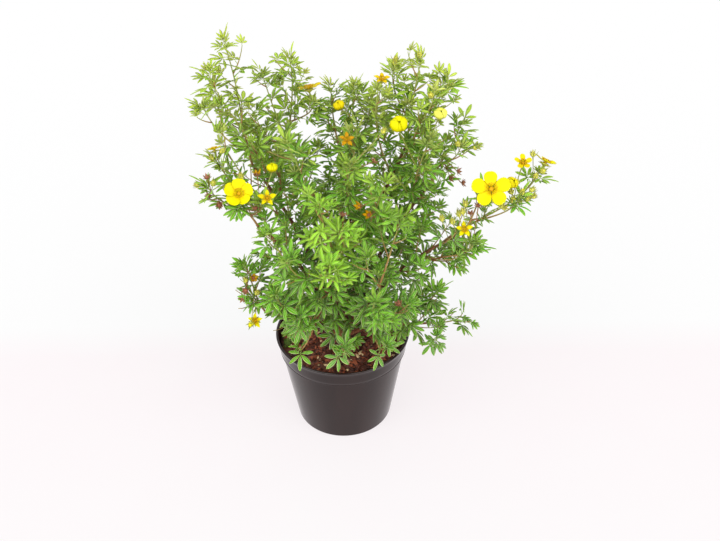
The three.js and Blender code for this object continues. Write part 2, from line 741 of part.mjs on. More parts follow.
function bloomBalls(bloom, owner) {
  const pose = bloomPose(bloom);
  const radius = bloom.size / 2;
  const balls = [{ centre: pose.heart, radius: radius * 0.35 + 1, owner, stem: false }];
  for (let petal = 0; petal < PETAL.count; petal++) {
    const turn = (2 * Math.PI * petal) / PETAL.count;
    const height = bloom.cup * radius * 0.5;
    const centre = onBloom(pose, turn, radius * 0.66, height);
    balls.push({ centre, radius: radius * 0.36 + 1, owner, stem: false });
  }
  return balls;
}

// Points along a straight stalk that other growth keeps clear of.
function stalkBalls(from, to, owner) {
  return [0.2, 0.35, 0.5, 0.65, 0.8, 0.95].map((share) => ({
    centre: from.clone().lerp(to, share),
    radius: BUD.neck + CLEAR.stem,
    owner,
    stem: false,
  }));
}

// Where the buds round one shoot's tip stand.
function budPoses(curve, count, seed) {
  const random = seededRandom(seed);
  const stem = curve.getTangent(0.98);
  const across = acrossOf(stem);
  const around = stem.clone().cross(across);
  const firstTurn = random() * 2 * Math.PI;
  const poses = [];
  for (let i = 0; i < count; i++) {
    const foot = onStem(curve, 0.97 - 0.04 * i);
    const turn = firstTurn + i * GOLDEN_TURN;
    const lift = BUD.lift * DEGREE * (0.5 + random());
    const out = across.clone().multiplyScalar(Math.cos(turn)).addScaledVector(around, Math.sin(turn));
    const reach = stem.clone().multiplyScalar(Math.cos(lift)).addScaledVector(out, Math.sin(lift));
    const length = BUD.shortest + (BUD.longest - BUD.shortest) * random();
    poses.push({ foot, reach, neck: foot.clone().addScaledVector(reach, length) });
  }
  return poses;
}

function budGeometry({ foot, reach, neck }) {
  const belly = neck.clone().addScaledVector(reach, BUD.height * 0.45);
  return loftGeometry([
    ringAt(foot, reach, BUD.foot, 4),
    ringAt(neck, reach, BUD.neck, 4),
    ringAt(belly, reach, BUD.radius, 4),
    [neck.clone().addScaledVector(reach, BUD.height)],
  ]);
}

function budBalls({ foot, reach, neck }, owner) {
  const middle = neck.clone().addScaledVector(reach, BUD.height * 0.45);
  return [
    ...stalkBalls(foot, neck, owner),
    { centre: middle, radius: BUD.radius + 0.5, owner, stem: false },
  ];
}

// The largest piece of a solid, without loose scraps and without slivers along its joins.
function mainPiece(solid) {
  const largest = solid.decompose().sort((a, b) => b.volume() - a.volume())[0];
  return largest.simplify(SLIVER);
}

// Stems, leaves, calyces and buds of one spray in one body, cut clear of the wood.
function makeSpray(spray, woodRoom) {
  const parts = spray.stems.flatMap(({ curve, radius, leaves, buds, blooms }) => [
    stemGeometry(curve, radius, SHOOT.tipRadius, SHOOT.sides),
    ...leaves.map(leafGeometry),
    ...buds.map(budGeometry),
    ...blooms.map((bloom) => calyxGeometry(bloom, curve)),
  ]);
  const whole = parts.map(toSolid).reduce((joined, part) => joined.add(part));
  return toGeometry(mainPiece(whole.subtract(woodRoom)));
}

const FINISHES = {
  pot: new THREE.MeshStandardMaterial({ color: 0x2b2526, roughness: 0.45, metalness: 0 }),
  medium: new THREE.MeshStandardMaterial({ color: 0x5a3324, roughness: 0.95, metalness: 0 }),
  wood: new THREE.MeshStandardMaterial({ color: 0x5c3a28, roughness: 0.85, metalness: 0 }),
  foliage: new THREE.MeshStandardMaterial({ color: 0x5c9138, roughness: 0.6, metalness: 0 }),
  petals: new THREE.MeshStandardMaterial({ color: 0xffec00, roughness: 0.5, metalness: 0 }),
};

const plant = new THREE.Group();

function addPiece(name, geometry, finish) {
  const piece = new THREE.Mesh(geometry, FINISHES[finish]);
  piece.name = name;
  plant.add(piece);
}

// Stems, blooms and buds take their places first, and leaves fill in where there is room.
const canes = new Map(Object.entries(CANE_ENDS).map(([name, end]) => [name, caneCurve(end)]));
const taken = [];
for (const curve of canes.values()) taken.push(...stemBalls(curve, CANE.baseRadius, "wood"));
SPRAYS.forEach((spray, i) => {
  spray.stems = sprayStems(spray, canes);
  spray.stems.forEach((stem, k) => {
    taken.push(...stemBalls(stem.curve, stem.radius, spray.name));
    stem.blooms = BLOOMS.filter((bloom) => bloom.spray === spray.name && bloom.shoot === k);
    const [, , budCount] = BUDS.find(([name, shoot]) => name === spray.name && shoot === k) ?? [];
    stem.buds = budPoses(stem.curve, budCount ?? 0, 1000 + 10 * i + k);
    for (const bud of stem.buds) taken.push(...budBalls(bud, spray.name));
    for (const bloom of stem.blooms) {
      const foot = onStem(stem.curve, bloom.from);
      taken.push(...stalkBalls(foot, vector(...bloom.at), spray.name));
      taken.push(...bloomBalls(bloom, bloom.name));
    }
  });
});
SPRAYS.forEach((spray, i) => {
  spray.stems.forEach((stem, k) => {
    const count = k === 0 ? LEAVES_ON_MAIN : LEAVES_ON_FORK;
    stem.leaves = leafPoses(stem.curve, count, spray.name, 10 * i + k + 1, taken);
  });
});

addPiece("pot", makePot(), "pot");
addPiece("medium", makeMedium(), "medium");
addPiece("wood", toGeometry(mainPiece(makeWood(canes, 0))), "wood");
const woodRoom = makeWood(canes, GAP);
for (const spray of SPRAYS) addPiece("spray_" + spray.name, makeSpray(spray, woodRoom), "foliage");
for (const bloom of BLOOMS) addPiece("bloom_" + bloom.name, bloomGeometry(bloom), "petals");

export default plant;
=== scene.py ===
"""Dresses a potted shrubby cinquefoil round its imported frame.

The shrub stands in a round nursery pot filled with bark. Its growth is worked out in millimetres by
the same rules as the solids, so that the fine stems, leaves and blooms keep the solids' places. More
leaves and twigs then fill in between them.
"""
import logging
import math
from dataclasses import dataclass, field, replace
from enum import Enum
from typing import Any, Callable, NamedTuple, Sequence

import bpy
import numpy as np
from mathutils import Matrix, Vector
from mathutils.geometry import delaunay_2d_cdt
from mathutils.kdtree import KDTree


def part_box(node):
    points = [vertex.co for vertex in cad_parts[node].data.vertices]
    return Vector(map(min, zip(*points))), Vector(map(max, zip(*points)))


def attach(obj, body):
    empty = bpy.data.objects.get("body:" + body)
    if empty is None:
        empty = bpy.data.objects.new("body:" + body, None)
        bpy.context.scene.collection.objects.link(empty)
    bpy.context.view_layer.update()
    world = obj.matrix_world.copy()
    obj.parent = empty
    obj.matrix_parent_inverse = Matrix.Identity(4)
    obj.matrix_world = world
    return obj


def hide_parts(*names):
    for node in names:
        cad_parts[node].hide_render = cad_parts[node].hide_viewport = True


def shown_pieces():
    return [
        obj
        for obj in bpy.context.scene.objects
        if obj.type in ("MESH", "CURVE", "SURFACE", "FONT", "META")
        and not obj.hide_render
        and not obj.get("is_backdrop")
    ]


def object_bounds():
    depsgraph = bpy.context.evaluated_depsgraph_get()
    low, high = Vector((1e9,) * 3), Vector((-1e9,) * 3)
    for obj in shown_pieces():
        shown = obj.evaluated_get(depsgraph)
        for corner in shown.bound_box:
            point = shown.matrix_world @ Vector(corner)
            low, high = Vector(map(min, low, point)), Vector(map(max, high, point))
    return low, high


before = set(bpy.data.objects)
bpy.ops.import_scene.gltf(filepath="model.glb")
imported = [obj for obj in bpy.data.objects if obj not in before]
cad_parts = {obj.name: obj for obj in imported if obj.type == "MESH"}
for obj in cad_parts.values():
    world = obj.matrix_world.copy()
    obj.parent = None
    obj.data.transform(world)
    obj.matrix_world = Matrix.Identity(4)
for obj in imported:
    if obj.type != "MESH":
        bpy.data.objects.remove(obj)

CAD_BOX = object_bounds()
LOG = logging.getLogger("shrub")
Array = np.ndarray
Stream = np.random.Generator
Socket = bpy.types.NodeSocket
Leaflets = tuple[tuple[float, float, float], ...]

MM = 0.001
DEGREE = math.pi / 180
FULL_TURN = 2 * math.pi
GOLDEN_TURN = 137.5 * DEGREE
PETAL_COUNT = 5
UP = np.array([0.0, 0.0, 1.0])
EAST = np.array([1.0, 0.0, 0.0])
LEVEL = np.array([1.0, 1.0, 0.0])
WORD = 0xFFFFFFFF

# Canes run from the crown to these ends, in millimetres.
CANE_ENDS = {
    "left_tall": (-100, 38, 345),
    "left_low": (-92, -22, 300),
    "left_lower": (-85, -50, 195),
    "back_left": (-60, 85, 340),
    "back_mid": (2, 78, 340),
    "back_right": (78, 60, 355),
    "back_low": (-35, 95, 235),
    "side_low": (72, 88, 225),
    "centre": (12, -8, 300),
    "right": (105, 36, 315),
    "far_right": (138, -35, 295),
    "front": (-14, -76, 248),
    "front_right": (48, -70, 236),
    "right_low": (95, -38, 168),
}

# Each spray: its name, its cane, how far along it leaves, and where its shoots end.
SPRAY_ROWS = [
    ("tall_crown", "left_tall", 1, [(-123, 68, 480)]),
    ("tall_outer", "left_tall", 0.86, [(-140, 40, 458), (-145, 22, 424)]),
    ("tall_inner", "left_tall", 0.76, [(-95, 50, 408)]),
    ("tall_low", "left_tall", 0.64, [(-131, 12, 398)]),
    ("left_bloom", "left_low", 1, [(-112, -24, 340), (-84, -38, 338)]),
    ("left_side", "left_low", 0.86, [(-136, 2, 374), (-143, -18, 348)]),
    ("left_front", "left_low", 0.7, [(-78, -62, 310)]),
    ("lower_left", "left_lower", 1, [(-108, -44, 260), (-99, -62, 230)]),
    ("lower_front", "left_lower", 0.7, [(-70, -86, 246)]),
    ("back_left_tip", "back_left", 1, [(-55, 108, 443), (-30, 88, 400)]),
    ("back_left_outer", "back_left", 0.86, [(-88, 100, 434), (-103, 66, 384)]),
    ("back_left_low", "back_left", 0.62, [(-98, 96, 322)]),
    ("centre_left", "centre", 0.84, [(-54, 2, 388)]),
    ("centre_tip", "centre", 1, [(14, -16, 372), (22, 30, 392)]),
    ("centre_right", "centre", 0.72, [(50, -56, 372)]),
    ("centre_front", "centre", 0.58, [(-18, -84, 366), (4, -94, 340)]),
    ("back_mid_left", "back_mid", 1, [(-9, 112, 408)]),
    ("back_mid_right", "back_mid", 0.88, [(18, 94, 416), (38, 84, 398)]),
    ("back_mid_far", "back_mid", 0.7, [(12, 130, 330)]),
    ("back_right_tip", "back_right", 1, [(94, 70, 456), (64, 88, 440)]),
    ("back_right_inner", "back_right", 0.82, [(46, 56, 430)]),
    ("back_right_outer", "back_right", 0.9, [(124, 50, 440), (106, 26, 432)]),
    ("back_right_low", "back_right", 0.6, [(104, 104, 350)]),
    ("right_outer", "right", 1, [(142, 58, 386), (138, 30, 366)]),
    ("right_inner", "right", 0.84, [(102, 12, 390)]),
    ("right_back", "right", 0.66, [(124, 88, 300)]),
    ("far_bloom", "far_right", 1, [(160, -22, 342), (166, -12, 306)]),
    ("far_tip", "far_right", 0.86, [(226, 6, 348), (200, -22, 330)]),
    ("far_low", "far_right", 0.7, [(134, -30, 262), (150, -50, 290)]),
    ("front_mid", "front", 1, [(-9, -110, 304)]),
    ("front_left", "front", 0.8, [(-54, -92, 298)]),
    ("front_low", "front", 0.6, [(-46, -98, 226), (-48, -96, 180)]),
    ("front_rim", "front", 0.42, [(4, -104, 180)]),
    ("front_right_tip", "front_right", 1, [(30, -92, 300), (68, -64, 334)]),
    ("front_right_low", "front_right", 0.74, [(38, -102, 248), (76, -84, 226)]),
    ("front_right_rim", "front_right", 0.5, [(50, -96, 180)]),
    ("right_low_tip", "right_low", 1, [(148, -22, 170), (114, -56, 158)]),
    ("right_low_upper", "right_low", 0.76, [(114, -24, 204)]),
    ("back_low_left", "back_low", 1, [(-72, 114, 286), (-52, 126, 214)]),
    ("back_low_mid", "back_low", 0.7, [(2, 122, 246)]),
    ("side_low_tip", "side_low", 1, [(70, 124, 286), (112, 92, 232)]),
]

# Each bloom: its name, spray and shoot, how far along its stalk leaves, where its heart lies, which
# way it faces, its width, its cupping, and its ripeness from 0, fresh, to 1, faded.
BLOOM_ROWS = [
    ("far_large", "far_bloom", 0, 0.7, (166, -38, 354), (-2, -15, 13), 42, 0.1, 0.0),
    ("far_half", "far_bloom", 0, 0.85, (188, -22, 350), (6, -8, 14), 19, 0.6, 0.25),
    ("far_edge", "far_tip", 0, 0.8, (234, 14, 358), (8, 5, 17), 30, 0.25, 0.05),
    ("far_orange", "far_tip", 0, 0.66, (206, 2, 364), (0, -8, 17), 22, 0.3, 0.25),
    ("far_star", "far_low", 1, 0.7, (139, -46, 308), (-2, -14, 14), 20, 0.15, 0.1),
    ("left_large", "left_bloom", 0, 0.7, (-107, -38, 352), (2, -13, 15), 34, 0.35, 0.0),
    ("left_star", "left_bloom", 1, 0.7, (-77, -38, 346), (2, -14, 14), 21, 0.15, 0.15),
    ("left_half", "left_bloom", 1, 0.5, (-73, -8, 364), (2, -4, 18), 16, 1.1, 0.1),
    ("left_edge", "left_side", 0, 0.8, (-136, 4, 384), (-4, 6, 19), 19, 0.25, 0.1),
    ("right_cup", "right_inner", 0, 0.6, (66, 8, 408), (1, -14, 14), 25, 0.55, 0.0),
    ("right_pale", "right_inner", 0, 0.8, (112, 20, 414), (2, -12, 16), 19, 0.9, 0.0),
    ("back_edge", "back_left_tip", 1, 0.7, (-34, 90, 418), (-3, 4, 19), 31, 0.15, 0.3),
    ("back_orange", "back_right_inner", 0, 0.75, (50, 60, 440), (2, -6, 18), 20, 0.15, 0.35),
    ("back_half", "back_mid_right", 1, 0.6, (2, 62, 406), (-4, -8, 16), 17, 0.8, 0.3),
    ("centre_faded", "centre_tip", 1, 0.7, (10, 16, 388), (2, -12, 16), 19, 0.15, 0.7),
    ("lower_star", "lower_left", 1, 0.8, (-97, -82, 211), (-2, -14, 14), 19, 0.15, 0.1),
]
NARROW_BLOOMS = ("far_star", "left_star", "back_orange", "centre_faded", "lower_star")
SLENDER_BLOOMS = ("far_orange",)
PALE_BLOOMS = ("right_pale",)
CLOSED_BLOOMS = ("left_half", "right_cup", "right_pale", "back_half", "far_half")

# Gaps in the foliage, each a ball by its centre and radius, in millimetres.
OPENINGS = [
    (-76, -18, 312, 9),
    (-66, -25, 278, 11),
    (-72, -42, 292, 10),
    (-92, 60, 402, 8),
    (-140, 55, 455, 6),
    (112, -10, 316, 7),
]

# Balls that the crown fills closely, each by its centre and radius, in millimetres.
CROWN_CORE = [
    (-5, 10, 300, 80),
    (-45, 45, 350, 62),
    (-92, 50, 385, 36),
    (50, 35, 360, 70),
    (60, 0, 290, 72),
    (98, 5, 258, 50),
    (100, 30, 330, 38),
    (-72, -10, 232, 46),
    (-100, -8, 325, 26),
    (60, -30, 210, 70),
    (-20, -40, 220, 70),
    (20, 70, 340, 80),
    (10, 75, 395, 42),
    (-128, 50, 440, 22),
    (-116, 20, 365, 18),
    (-122, 30, 412, 20),
    (-95, 70, 428, 20),
    (120, -15, 322, 14),
    (98, -48, 152, 14),
    (108, -55, 142, 14),
    (-96, -60, 218, 22),
    (-100, -40, 262, 18),
    (122, -32, 178, 26),
    (132, -32, 290, 30),
    (134, -30, 262, 26),
    (168, -30, 312, 13),
    (150, -28, 302, 18),
    (112, -38, 286, 22),
    (118, -8, 268, 24),
    (-136, 44, 446, 16),
    (-84, 72, 424, 18),
    (-55, 95, 420, 26),
    (80, 75, 425, 24),
]

# Sprays with fresh growth, brighter than the rest, and those that bear few leaves.
FRESH_SPRAYS = ("centre_front", "front_mid")
SPARSE_SPRAYS = ("far_tip", "far_bloom")

# Buds that the solids hold: spray, shoot and how many stand round its tip.
BUD_ROWS = [
    ("far_tip", 0, 2),
    ("far_tip", 1, 2),
    ("far_bloom", 1, 2),
    ("left_side", 1, 2),
    ("left_side", 0, 1),
    ("left_bloom", 0, 1),
    ("lower_left", 1, 2),
    ("back_right_tip", 1, 1),
    ("back_right_outer", 1, 1),
    ("right_outer", 1, 2),
]


class HeadKind(Enum):
    """What stands at the end of a flower stalk that bears no open bloom."""

    BUD = "bud"
    OPENING = "opening"
    FADED = "faded"
    SPENT = "spent"


BUD, OPENING, FADED, SPENT = HeadKind

# Further heads: kind, spray, shoot, how far along the stalk leaves, and where the head lies.
HEAD_ROWS = [
    (SPENT, "left_side", 1, 0.93, (-143, -20, 361)),
    (SPENT, "left_side", 1, 0.85, (-142, -24, 341)),
    (SPENT, "left_side", 1, 0.75, (-132, -26, 331)),
    (BUD, "left_side", 0, 0.9, (-138, 0, 373)),
    (BUD, "left_bloom", 0, 0.6, (-105, -24, 362)),
    (FADED, "left_bloom", 1, 0.6, (-89, -12, 359)),
    (SPENT, "left_bloom", 1, 0.85, (-89, -40, 334)),
    (SPENT, "far_low", 1, 0.92, (154, -34, 329)),
    (SPENT, "far_bloom", 0, 0.6, (152, -30, 346)),
    (BUD, "far_tip", 1, 0.75, (193, -26, 330)),
    (OPENING, "far_tip", 1, 0.85, (203, -20, 336)),
    (BUD, "far_tip", 1, 0.95, (216, -16, 329)),
    (BUD, "far_bloom", 0, 0.9, (181, -30, 325)),
    (BUD, "far_low", 1, 0.9, (137, -42, 325)),
    (BUD, "far_low", 0, 0.9, (114, -44, 318)),
    (BUD, "far_tip", 0, 0.85, (220, -4, 348)),
    (BUD, "far_tip", 0, 0.9, (219, 14, 365)),
    (SPENT, "centre_front", 1, 0.9, (6, -72, 343)),
    (FADED, "centre_right", 0, 0.85, (25, -60, 347)),
    (FADED, "centre_right", 0, 0.7, (34, -58, 335)),
    (SPENT, "front_right_tip", 1, 0.9, (51, -50, 319)),
    (SPENT, "centre_right", 0, 0.6, (38, -30, 341)),
    (SPENT, "centre_tip", 0, 0.9, (39, 0, 368)),
    (SPENT, "front_right_low", 1, 0.9, (66, -88, 236)),
    (FADED, "lower_left", 0, 0.95, (-98, -60, 255)),
    (SPENT, "lower_left", 0, 0.9, (-107, -62, 240)),
    (SPENT, "lower_left", 0, 0.8, (-111, -62, 229)),
    (OPENING, "lower_left", 1, 0.95, (-101, -86, 211)),
    (SPENT, "right_outer", 1, 0.3, (130, 40, 325)),
    (SPENT, "right_outer", 1, 0.25, (127, 44, 334)),
    (SPENT, "right_outer", 1, 0.15, (144, 36, 320)),
    (BUD, "back_right_tip", 0, 0.97, (92, 66, 462)),
    (BUD, "back_right_tip", 1, 0.97, (65, 84, 447)),
    (BUD, "back_right_outer", 1, 0.97, (107, 38, 436)),
    (BUD, "centre_tip", 0, 0.97, (49, 0, 403)),
    (BUD, "far_low", 1, 0.85, (140, -36, 331)),
    (BUD, "far_low", 1, 0.8, (133, -40, 321)),
    (SPENT, "far_low", 1, 0.88, (146, -38, 322)),
    (BUD, "far_low", 1, 0.7, (127, -40, 311)),
    (BUD, "far_bloom", 1, 0.8, (178, -34, 329)),
    (BUD, "far_tip", 1, 0.8, (198, -14, 345)),
    (BUD, "far_tip", 1, 0.9, (209, -20, 328)),
    (SPENT, "right_outer", 1, 0.4, (137, 30, 339)),
]


def unit(vector: Array) -> Array:
    """Returns a vector at length 1."""
    return vector / np.linalg.norm(vector)


def square_to(heading: Array, wanted: Array) -> Array:
    """Returns the part of a vector that is square to a unit heading, at length 1."""
    return unit(wanted - heading * float(wanted @ heading))


def across_of(heading: Array) -> Array:
    """Returns a unit vector square to a heading."""
    return unit(np.cross(heading, EAST if abs(heading[0]) < 0.8 else UP))


def turned(axis: Array, turn: float) -> Array:
    """Returns the direction square to an axis at a turn round it."""
    across = across_of(axis)
    return across * math.cos(turn) + np.cross(axis, across) * math.sin(turn)


def turns_of(count: int) -> Array:
    """Returns the angles of points spread evenly round a circle."""
    return np.arange(count) * FULL_TURN / count


def circle(radius: float, height: float, turns: Array) -> Array:
    """Returns level points round the pot's axis."""
    return np.stack([radius * np.cos(turns), radius * np.sin(turns), np.full(len(turns), height)], 1)


def smooth_step(low: float, high: float, value: Array) -> Array:
    """Returns a soft rise from 0 at low to 1 at high."""
    share = np.clip((value - low) / (high - low), 0, 1)
    return share * share * (3 - 2 * share)


def share_of(low: float, high: float, value: float) -> float:
    """Returns how far a value is from low to high, held between 0 and 1."""
    return float(np.clip((value - low) / (high - low), 0, 1))


class SeededRandom:
    """A repeatable stream of numbers from 0 to 1, the same as the one that shaped the solids."""

    def __init__(self, seed: int) -> None:
        """Starts the stream at a seed."""
        self.state = seed & WORD

    def __call__(self) -> float:
        """Draws the next number of the stream.

        Returns:
            The number.
        """
        self.state = (self.state + 0x6D2B79F5) & WORD
        mixed = self.state
        mixed = ((mixed ^ (mixed >> 15)) * (mixed | 1)) & WORD
        mixed ^= (mixed + ((mixed ^ (mixed >> 7)) * (mixed | 61))) & WORD
        return ((mixed ^ (mixed >> 14)) & WORD) / (WORD + 1)


@dataclass(frozen=True)
class StemLine:
    """A stem's middle line as a cubic curve through its two end hooks, in millimetres."""

    hooks: Array
    steps: int = 4

    def at(self, t: float) -> Array:
        """Returns the place at a share of the line."""
        s = 1 - t
        return np.array([s * s * s, 3 * s * s * t, 3 * s * t * t, t * t * t]) @ self.hooks

    def heading(self, t: float) -> Array:
        """Returns the unit direction at a share of the line."""
        return unit(self.at(min(t + 1e-4, 1)) - self.at(max(t - 1e-4, 0)))

    def stepped(self, t: float) -> Array:
        """Finds a place on the few straight steps that the solids take along the line.

        Args:
            t: The share of the line.

        Returns:
            The place.
        """
        step = min(int(t * self.steps), self.steps - 1)
        near, far = self.at(step / self.steps), self.at((step + 1) / self.steps)
        return near + (far - near) * (t * self.steps - step)

    @property
    def span(self) -> float:
        """The straight distance between the ends."""
        return float(np.linalg.norm(self.hooks[3] - self.hooks[0]))

    def from_place(self, start: Array) -> "StemLine":
        """Returns the line with its first half drawn over to start at a place."""
        return StemLine(self.hooks + np.outer([1, 1, 0, 0], start - self.hooks[0]))


def straight_line(start: Array, end: Array, bow: Array | float = 0.0) -> StemLine:
    """Returns a line between two places, with its middle drawn aside by a bow."""
    run = end - start
    return StemLine(np.array([start, start + run / 3 + bow, start + run * 2 / 3 + bow, end]))


@dataclass(frozen=True)
class PotSize:
    """The nursery pot's real sizes in millimetres, of which the outer ones come from the frame."""

    height: float
    lip_radius: float
    lip_depth: float = 3.0
    collar_foot: float = 106.0
    collar_radius: float = 80.5
    wall_top_radius: float = 79.0
    foot_radius: float = 62.5
    foot_edge: float = 1.5
    wall: float = 1.7
    floor: float = 2.0
    drain_radius: float = 5.0
    drain_ring: float = 44.0
    drains: int = 6

    def inside(self, height: float) -> float:
        """Works out the radius of the inside within the collar.

        Args:
            height: The height.

        Returns:
            The radius.
        """
        foot = self.wall_top_radius - self.wall
        share = (height - self.collar_foot) / (self.height - self.collar_foot)
        return foot + (self.lip_radius - self.lip_depth - foot) * share


POT_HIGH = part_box("pot")[1]
POT = PotSize(height=round(POT_HIGH.z / MM), lip_radius=round(POT_HIGH.x / MM))
MEDIUM_LEVEL = 118.0
GAP = 0.35


@dataclass(frozen=True)
class CrownSize:
    """The woody stump that every cane springs from, in millimetres."""

    foot: float = 92.0
    shoulder: float = 122.0
    top: float = 128.0
    radius: float = 9.5
    ring: float = 4.5


CROWN = CrownSize()


class Mark(Enum):
    """Numbers that a mesh's points carry for its finishes to read. A leaf's age over 1 is fresh growth."""

    TONE = "tone"
    AGE = "age"
    BREADTH = "breadth"
    ALONG = "along"


def linear(code: str) -> tuple[float, ...]:
    """Turns an sRGB colour into linear light.

    Args:
        code: The colour in hex, such as #5c9a33.

    Returns:
        Red, green, blue and full cover.
    """
    channels = [int(code[i : i + 2], 16) / 255 for i in (1, 3, 5)]
    light = [c / 12.92 if c <= 0.04045 else ((c + 0.055) / 1.055) ** 2.4 for c in channels]
    return (*light, 1.0)


def add_node(
    tree: bpy.types.NodeTree,
    kind: str,
    settings: dict[str, Any] | None = None,
    inputs: dict[str | int, Any] | None = None,
) -> bpy.types.Node:
    """Adds a node, sets it up and links it.

    Args:
        tree: The material's or world's node tree.
        kind: The node's type name.
        settings: Properties of the node itself.
        inputs: For each input, a number or colour to set, or a socket to link.

    Returns:
        The node.
    """
    node = tree.nodes.new(kind)
    for name, value in (settings or {}).items():
        setattr(node, name, value)
    for name, value in (inputs or {}).items():
        if isinstance(value, Socket):
            tree.links.new(value, node.inputs[name])
        else:
            node.inputs[name].default_value = value
    return node


class Painter:
    """Node work for one material, in the few steps that every finish here is made from."""

    def __init__(self, name: str) -> None:
        """Opens a new material with an empty tree.

        Args:
            name: The material's name.
        """
        material = bpy.data.materials.new(name)
        material.use_nodes = True
        self.tree = material.node_tree
        self.tree.nodes.clear()
        self.place = add_node(self.tree, "ShaderNodeTexCoord").outputs["Object"]

    def mark(self, mark: Mark) -> Socket:
        """Reads one of the mesh's marks."""
        return add_node(self.tree, "ShaderNodeAttribute", {"attribute_name": mark.value}).outputs["Fac"]

    def noise(self, grain_mm: float, detail: float = 3.0, stretch: Sequence[float] = (1, 1, 1)) -> Socket:
        """Lays noise whose lumps have a real size.

        Args:
            grain_mm: The size of one lump in millimetres.
            detail: How many finer layers are added.
            stretch: Scale of the pattern along each axis.

        Returns:
            The socket with its value.
        """
        mapped = add_node(self.tree, "ShaderNodeMapping", inputs={"Vector": self.place, "Scale": stretch})
        inputs = {"Vector": mapped.outputs[0], "Scale": 1 / (grain_mm * MM), "Detail": detail}
        return add_node(self.tree, "ShaderNodeTexNoise", inputs=inputs).outputs["Fac"]

    def stretch(self, value: Any, low: float, high: float, to: tuple[float, float] = (0, 1)) -> Socket:
        """Returns a socket with a value's range from low to high mapped onto another and held there."""
        inputs = {"Value": value, "From Min": low, "From Max": high, "To Min": to[0], "To Max": to[1]}
        return add_node(self.tree, "ShaderNodeMapRange", inputs=inputs).outputs[0]

    def sums(self, kind: str, first: Any, second: Any) -> Socket:
        """Works out one sum, such as MULTIPLY, of two values."""
        return add_node(self.tree, "ShaderNodeMath", {"operation": kind}, {0: first, 1: second}).outputs[0]

    def product(self, first: Any, second: Any) -> Socket:
        """Multiplies two values."""
        return self.sums("MULTIPLY", first, second)

    def blend(self, share: Any, first: Any, second: Any, how: str = "MIX") -> Socket:
        """Mixes two colours.

        Args:
            share: How much of the second shows, as a number or a socket.
            first: A hex colour or a socket.
            second: A hex colour or a socket.
            how: The way they mix.

        Returns:
            The socket with the colour.
        """
        colours = [linear(c) if isinstance(c, str) else c for c in (first, second)]
        settings = {"data_type": "RGBA", "blend_type": how}
        node = add_node(self.tree, "ShaderNodeMix", settings, {0: share, 6: colours[0], 7: colours[1]})
        return node.outputs[2]

    def layer(
        self, under: Any, over: Any, value: Any, low: float, high: float, most: float = 1, how: str = "MIX"
    ) -> Socket:
        """Lays one colour over another by a value: none of it at low, the most of it at high."""
        return self.blend(self.stretch(value, low, high, (0, most)), under, over, how)

    def bump(self, height: Any, depth_mm: float, over: Any = None) -> Socket:
        """Turns a height of 0 to 1 into relief of a real depth.

        Args:
            height: The socket with the height.
            depth_mm: How deep the relief is in millimetres.
            over: Relief that lies under this one, if any.

        Returns:
            The socket with the normal.
        """
        inputs = {"Height": height, "Distance": depth_mm * MM, "Strength": 1.0}
        if over is not None:
            inputs["Normal"] = over
        return add_node(self.tree, "ShaderNodeBump", inputs=inputs).outputs[0]

    def finish(self, **inputs: Any) -> None:
        """Closes the material with its one surface shader.

        Args:
            **inputs: The shader's inputs, with underscores for spaces.
        """
        named = {name.replace("_", " "): value for name, value in inputs.items()}
        shader = add_node(self.tree, "ShaderNodeBsdfPrincipled", inputs=named)
        add_node(self.tree, "ShaderNodeOutputMaterial", inputs={"Surface": shader.outputs[0]})


@dataclass(frozen=True)
class Finish:
    """A finish of one real material. Its material is made once, at first use."""

    name: str

    def material(self) -> bpy.types.Material:
        """Makes the material if need be.

        Returns:
            The material.
        """
        if self.name not in bpy.data.materials:
            self.paint(Painter(self.name))
        return bpy.data.materials[self.name]

    def paint(self, painter: Painter) -> None:
        """Paints the material."""
        raise NotImplementedError


@dataclass(frozen=True)
class MouldedPolypropylene(Finish):
    """Recycled black polypropylene, injection moulded. The eye sees a soft grey-brown sheen."""

    colour: str = "#170908"
    scuffed: str = "#221311"
    dust: str = "#3f2d29"
    roughness: float = 0.12
    ior: float = 1.37
    flow_mm: float = 22.0
    speck_mm: float = 0.9

    def paint(self, painter: Painter) -> None:
        """Paints faint flow marks, fine scuffs and a little dust.

        Args:
            painter: The new material's painter.
        """
        flow = painter.noise(self.flow_mm, 2.0, (1, 1, 0.15))
        speck = painter.noise(self.speck_mm, 4.0)
        colour = painter.layer(self.colour, self.scuffed, flow, 0.35, 0.65, 0.55)
        dusty = painter.product(
            painter.stretch(speck, 0.56, 0.72), painter.stretch(flow, 0.45, 0.7, (0.05, 0.35))
        )
        painter.finish(
            Base_Color=painter.blend(dusty, colour, self.dust),
            Roughness=painter.stretch(flow, 0.3, 0.7, (self.roughness - 0.05, self.roughness + 0.09)),
            Normal=painter.bump(speck, 0.03, painter.bump(flow, 0.15)),
            IOR=self.ior,
        )


